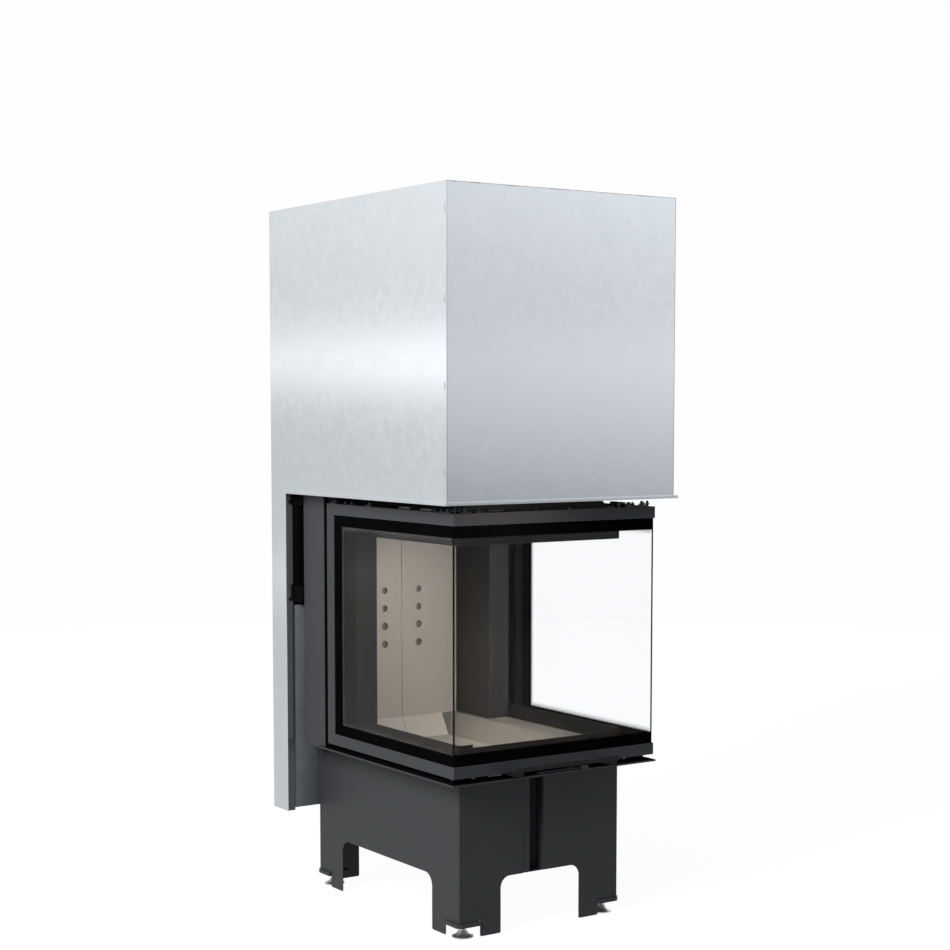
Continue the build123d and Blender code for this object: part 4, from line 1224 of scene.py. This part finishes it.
@dataclass
class Casing(SubAssembly):
    """Rear casing, its ties and its screws."""

    washer_height: float = 0.6 * MM
    shield_front: float = at_depth(686.3 * MM)
    shield_back: float = at_depth(687.5 * MM)
    shield_edges: Lengths = mm(258.0, 300.0)
    shield_heights: Lengths = mm(693.5, 962.0)
    cover_edges: Lengths = mm(212.0, 300.0)
    cover_heights: Lengths = mm(196.0, 693.0)
    casing_wall: float = 0.8 * MM

    def __post_init__(self) -> None:
        """Set which solids are dressed and how."""
        self._soften(SHEET, Slot.SHEET, 0.22, "rear_casing")
        low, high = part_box("rear_casing")

        def looks_inward(face: bmesh.types.BMFace) -> bool:
            """Tell whether a face of the tray is on its inside.

            Args:
                face: Face of the tray.

            Returns:
                Whether it is on the inside.
            """
            centre = face.calc_center_median()
            within = abs(centre.x) < high.x - self.casing_wall
            sideways = within and face.normal.x * centre.x < -0.5 * high.x
            return sideways or (face.normal.y < -0.9 and centre.y > (low.y + high.y) / 2)

        # The casing's inner faces wear the darker sheet of painted shade.
        self.second["rear_casing"] = (SHADED_SHEET, looks_inward)
        # The ties and hood brackets are black paint made darker and without reflections, as painted shade.
        self._soften(SHADOW_PAINT, Slot.SHEET, 0.5, "casing_ties")
        self._soften(SHADOW_PAINT, Slot.SHEET, 0.4, "hood_brackets")

    def fit(self) -> None:
        """Add near-black sheets of painted shadow and covers in deep painted shade behind the flanges, and
        screw heads with a washer rim and a recess.
        """
        for side in Side:
            # The upper near-black sheets paint the shadow behind each flange. The covers below are sheets in a
            # deep painted shade.
            plates = (
                ("shield", self.shield_edges, self.shield_heights, SHADOW_PAINT, Slot.BLACK),
                ("cover", self.cover_edges, self.cover_heights, DEEP_SHADED_SHEET, Slot.SHEET),
            )
            for kind, edges, (foot, top), finish, slot in plates:
                low, high = side.span(*edges)
                plate = Blank()
                plate.box((low, self.shield_front, foot), (high, self.shield_back, top), 0.3 * MM)
                plate.piece(f"casing_{kind}_{side.word}", finish, slot, "insert", 47.0)
        heads = Blank()
        for low, high in islands("sheet_screws"):
            middle = (low + high) / 2
            radius, height = (high.x - low.x) / 2, high.y - low.y
            rim = self.washer_height
            profile = [(0.0, 0.0), (radius, 0.0), (radius, rim), (radius * 0.8, rim + 0.1 * MM)]
            profile += [(radius * 0.72, height - 0.3 * MM), (radius * 0.5, height), (radius * 0.34, height)]
            profile += [(radius * 0.28, height * 0.5), (0.0, height * 0.4)]
            heads.lathe((middle.x, high.y, middle.z), FORWARD, profile, 24)
        made = heads.piece("sheet_screw_heads", DARK_STEEL, Slot.ZINC, body_of("sheet_screws"), 40.0)
        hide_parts("sheet_screws")


@dataclass
class Hood(SubAssembly):
    """Galvanised hood with its lip and top frame."""

    edge_reach: float = 0.3 * MM
    tab_wall: float = 0.4 * MM
    tab_drop: float = 0.8 * MM
    tab_rise: float = 0.6 * MM
    tab_spans: tuple[Lengths, ...] = pairs(
        (-298.0, -283.0), (-250.0, -224.0), (-166.0, -126.0), (-43.0, -13.0), (200.0, 222.0)
    )

    def __post_init__(self) -> None:
        """Set which solids are dressed and how."""
        self._soften(SHEET, Slot.SHEET, 0.22, "hood_left_panel", "hood_right_panel", "hood_front_panel")
        self._soften(SHEET, Slot.SHEET, 0.22, "hood_lip", "hood_top_frame")
        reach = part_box("hood_front_panel")[0].x + self.edge_reach
        # The faces at the front panel's left end, in its side slot, wear painted shade. The top frame's front
        # faces wear deep painted shade.
        self.second["hood_front_panel"] = (SHADED_SHEET, lambda face: face.calc_center_median().x < reach)
        self.second["hood_top_frame"] = (DEEP_SHADED_SHEET, lambda face: face.normal.y < -0.5)

    def fit(self) -> None:
        """Set the folded tabs of the top frame on the front panel's upper edge, in the darker sheet that
        paints shade.
        """
        low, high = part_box("hood_front_panel")
        tabs = Blank()
        for left, right in self.tab_spans:
            corner = (right, low.y, high.z + self.tab_rise)
            tabs.box((left, low.y - self.tab_wall, high.z - self.tab_drop), corner, 0.1 * MM)
        tabs.piece("top_frame_tabs", SHADED_SHEET, Slot.SHEET, "insert", 40.0)


@dataclass(frozen=True)
class Lamp:
    """One square soft box: where it hangs, what it faces, its side and its power in watts."""

    name: str
    place: Point
    aim: Point
    side: float
    power: float


@dataclass
class Studio:
    """Floor, lights, backdrop and camera."""

    floor_radius: float = 6.0
    floor_drop: float = 0.5 * MM
    camera_place: Point = (-2.4839, -3.7071, 1.1751)
    camera_turn: Point = (85.311, 0.0, -33.975)
    lens: float = 71.93
    sensor: float = 36.0
    shift: tuple[float, float] = (0.0023, 0.0907)
    key: Lamp = Lamp("key", (-3.4, -1.0, 2.6), (0.0, 0.1, 0.6), 1.8, 450.0)
    fill: Lamp = Lamp("fill", (-0.05, -0.02, 0.82), (0.04, 0.12, 0.40), 0.25, 0.45)
    band: Lamp = Lamp("band", (-0.24, -1.3, 0.955), (-0.16, at_depth(0.0), 0.935), 0.3, 0.42)
    band_height: float = 0.05
    band_colour: Colour = (1.0, 0.90, 0.80)
    band_spread: float = math.radians(20.0)
    white: float = 0.99
    strip_height: float = 1.28
    strip_spread: float = 0.75
    patch_height: float = -5.1
    patch_spread: float = 0.65
    patch_sides: Span = (0.47, 0.58)
    patch_blur: float = 0.04
    back_tint: Colour = (0.985, 0.995, 1.0)
    front_tint: Colour = (0.965, 0.99, 1.02)

    def build(self) -> None:
        """Set the studio up."""
        self._camera()
        self._floor()
        self._backdrop()
        self._light(self.key)
        self._light(self.fill)
        band = self._light(self.band)
        band.shape = "RECTANGLE"
        band.size_y = self.band_height
        band.color = self.band_colour
        band.spread = self.band_spread
        bpy.context.scene.view_settings.view_transform = "Standard"

    def _camera(self) -> None:
        """Place the camera where the fitted viewpoint is."""
        data = bpy.data.cameras.new("camera")
        data.lens = self.lens
        data.sensor_width = self.sensor
        data.sensor_fit = "HORIZONTAL"
        data.shift_x, data.shift_y = self.shift
        data.clip_end = 200.0
        camera = placed("camera", data)
        camera.location = self.camera_place
        camera.rotation_euler = Euler([math.radians(a) for a in self.camera_turn])
        bpy.context.scene.camera = camera

    def _floor(self) -> None:
        """Lay a plain pale floor."""
        mesh = bmesh.new()
        bmesh.ops.create_circle(mesh, cap_ends=True, segments=96, radius=self.floor_radius)
        bmesh.ops.translate(mesh, vec=(0.0, 0.0, -self.floor_drop), verts=mesh.verts[:])
        data = bpy.data.meshes.new("floor")
        mesh.to_mesh(data)
        mesh.free()
        data.materials.append(StudioFloor().material())
        floor = placed("floor", data)

    def _backdrop(self) -> None:
        """Light the room softly, brightest in a narrow strip at eye height, and show it plain white."""
        world = bpy.data.worlds.new("studio")
        world.use_nodes = True
        bpy.context.scene.world = world
        graph = Graph(world.node_tree)
        across, depth, rise = graph.axes(graph.add("TexCoord", "Generated"))
        aside = across.size()
        degrees = rise * (180.0 / math.pi)
        strip = degrees.bell(self.strip_height, self.strip_spread)
        growth = ((aside - 0.545) * 3.6 + 0.84).clamped(0.3, 0.95)
        back = (degrees.clamped(0.0, 7.0) * 0.04 + 0.72 + strip * growth) * (aside * 1.07 + 0.45)
        low = (degrees.clamped(-12.0, -0.3) + 0.3) * 0.1
        front = ((degrees.clamped(3.0, 8.0) - 3.0) * 0.06 + 0.745 + low).largest(0.2)
        front = (front + strip * 0.2) * (aside * 1.3 + 0.22).largest(0.3)
        inner, outer = (aside.above(edge, self.patch_blur) for edge in self.patch_sides)
        patch = degrees.bell(self.patch_height, self.patch_spread) * (inner * (1.0 - outer)) * 0.45
        behind = depth.above(0.0, 0.5)
        tone = behind * (back + patch - front) + front
        seen = graph.seen()
        room = graph.blend(behind, self.front_tint, self.back_tint)
        sockets = {"Color": graph.blend(seen, room, WHITE), "Strength": seen * (self.white - tone) + tone}
        background = graph.add("Background", "Background", sockets)
        graph.node("OutputWorld", {"Surface": background})

    def _light(self, lamp: Lamp) -> bpy.types.AreaLight:
        """Hang one soft box that reflections don't show.

        Args:
            lamp: Its place, aim, size and power.

        Returns:
            The light's data.
        """
        data = bpy.data.lights.new(lamp.name, "AREA")
        data.shape = "SQUARE"
        data.size = lamp.side
        data.energy = lamp.power
        made = placed(lamp.name, data)
        made.location = lamp.place
        facing = Vector(lamp.aim) - Vector(lamp.place)
        made.rotation_euler = facing.to_track_quat("-Z", "Y").to_euler()
        made.visible_glossy = False
        return data


def main() -> None:
    """Build every sub-assembly in order."""
    logging.basicConfig(level=logging.INFO, format="%(name)s %(message)s")
    Studio().build()
    for assembly in (Base(), Hearth(), Firebox(), Door(), LiftGear(), Casing(), Hood()):
        assembly.build()
        log.info("%s is done", type(assembly).__name__)


if __name__ == "__main__":
    main()
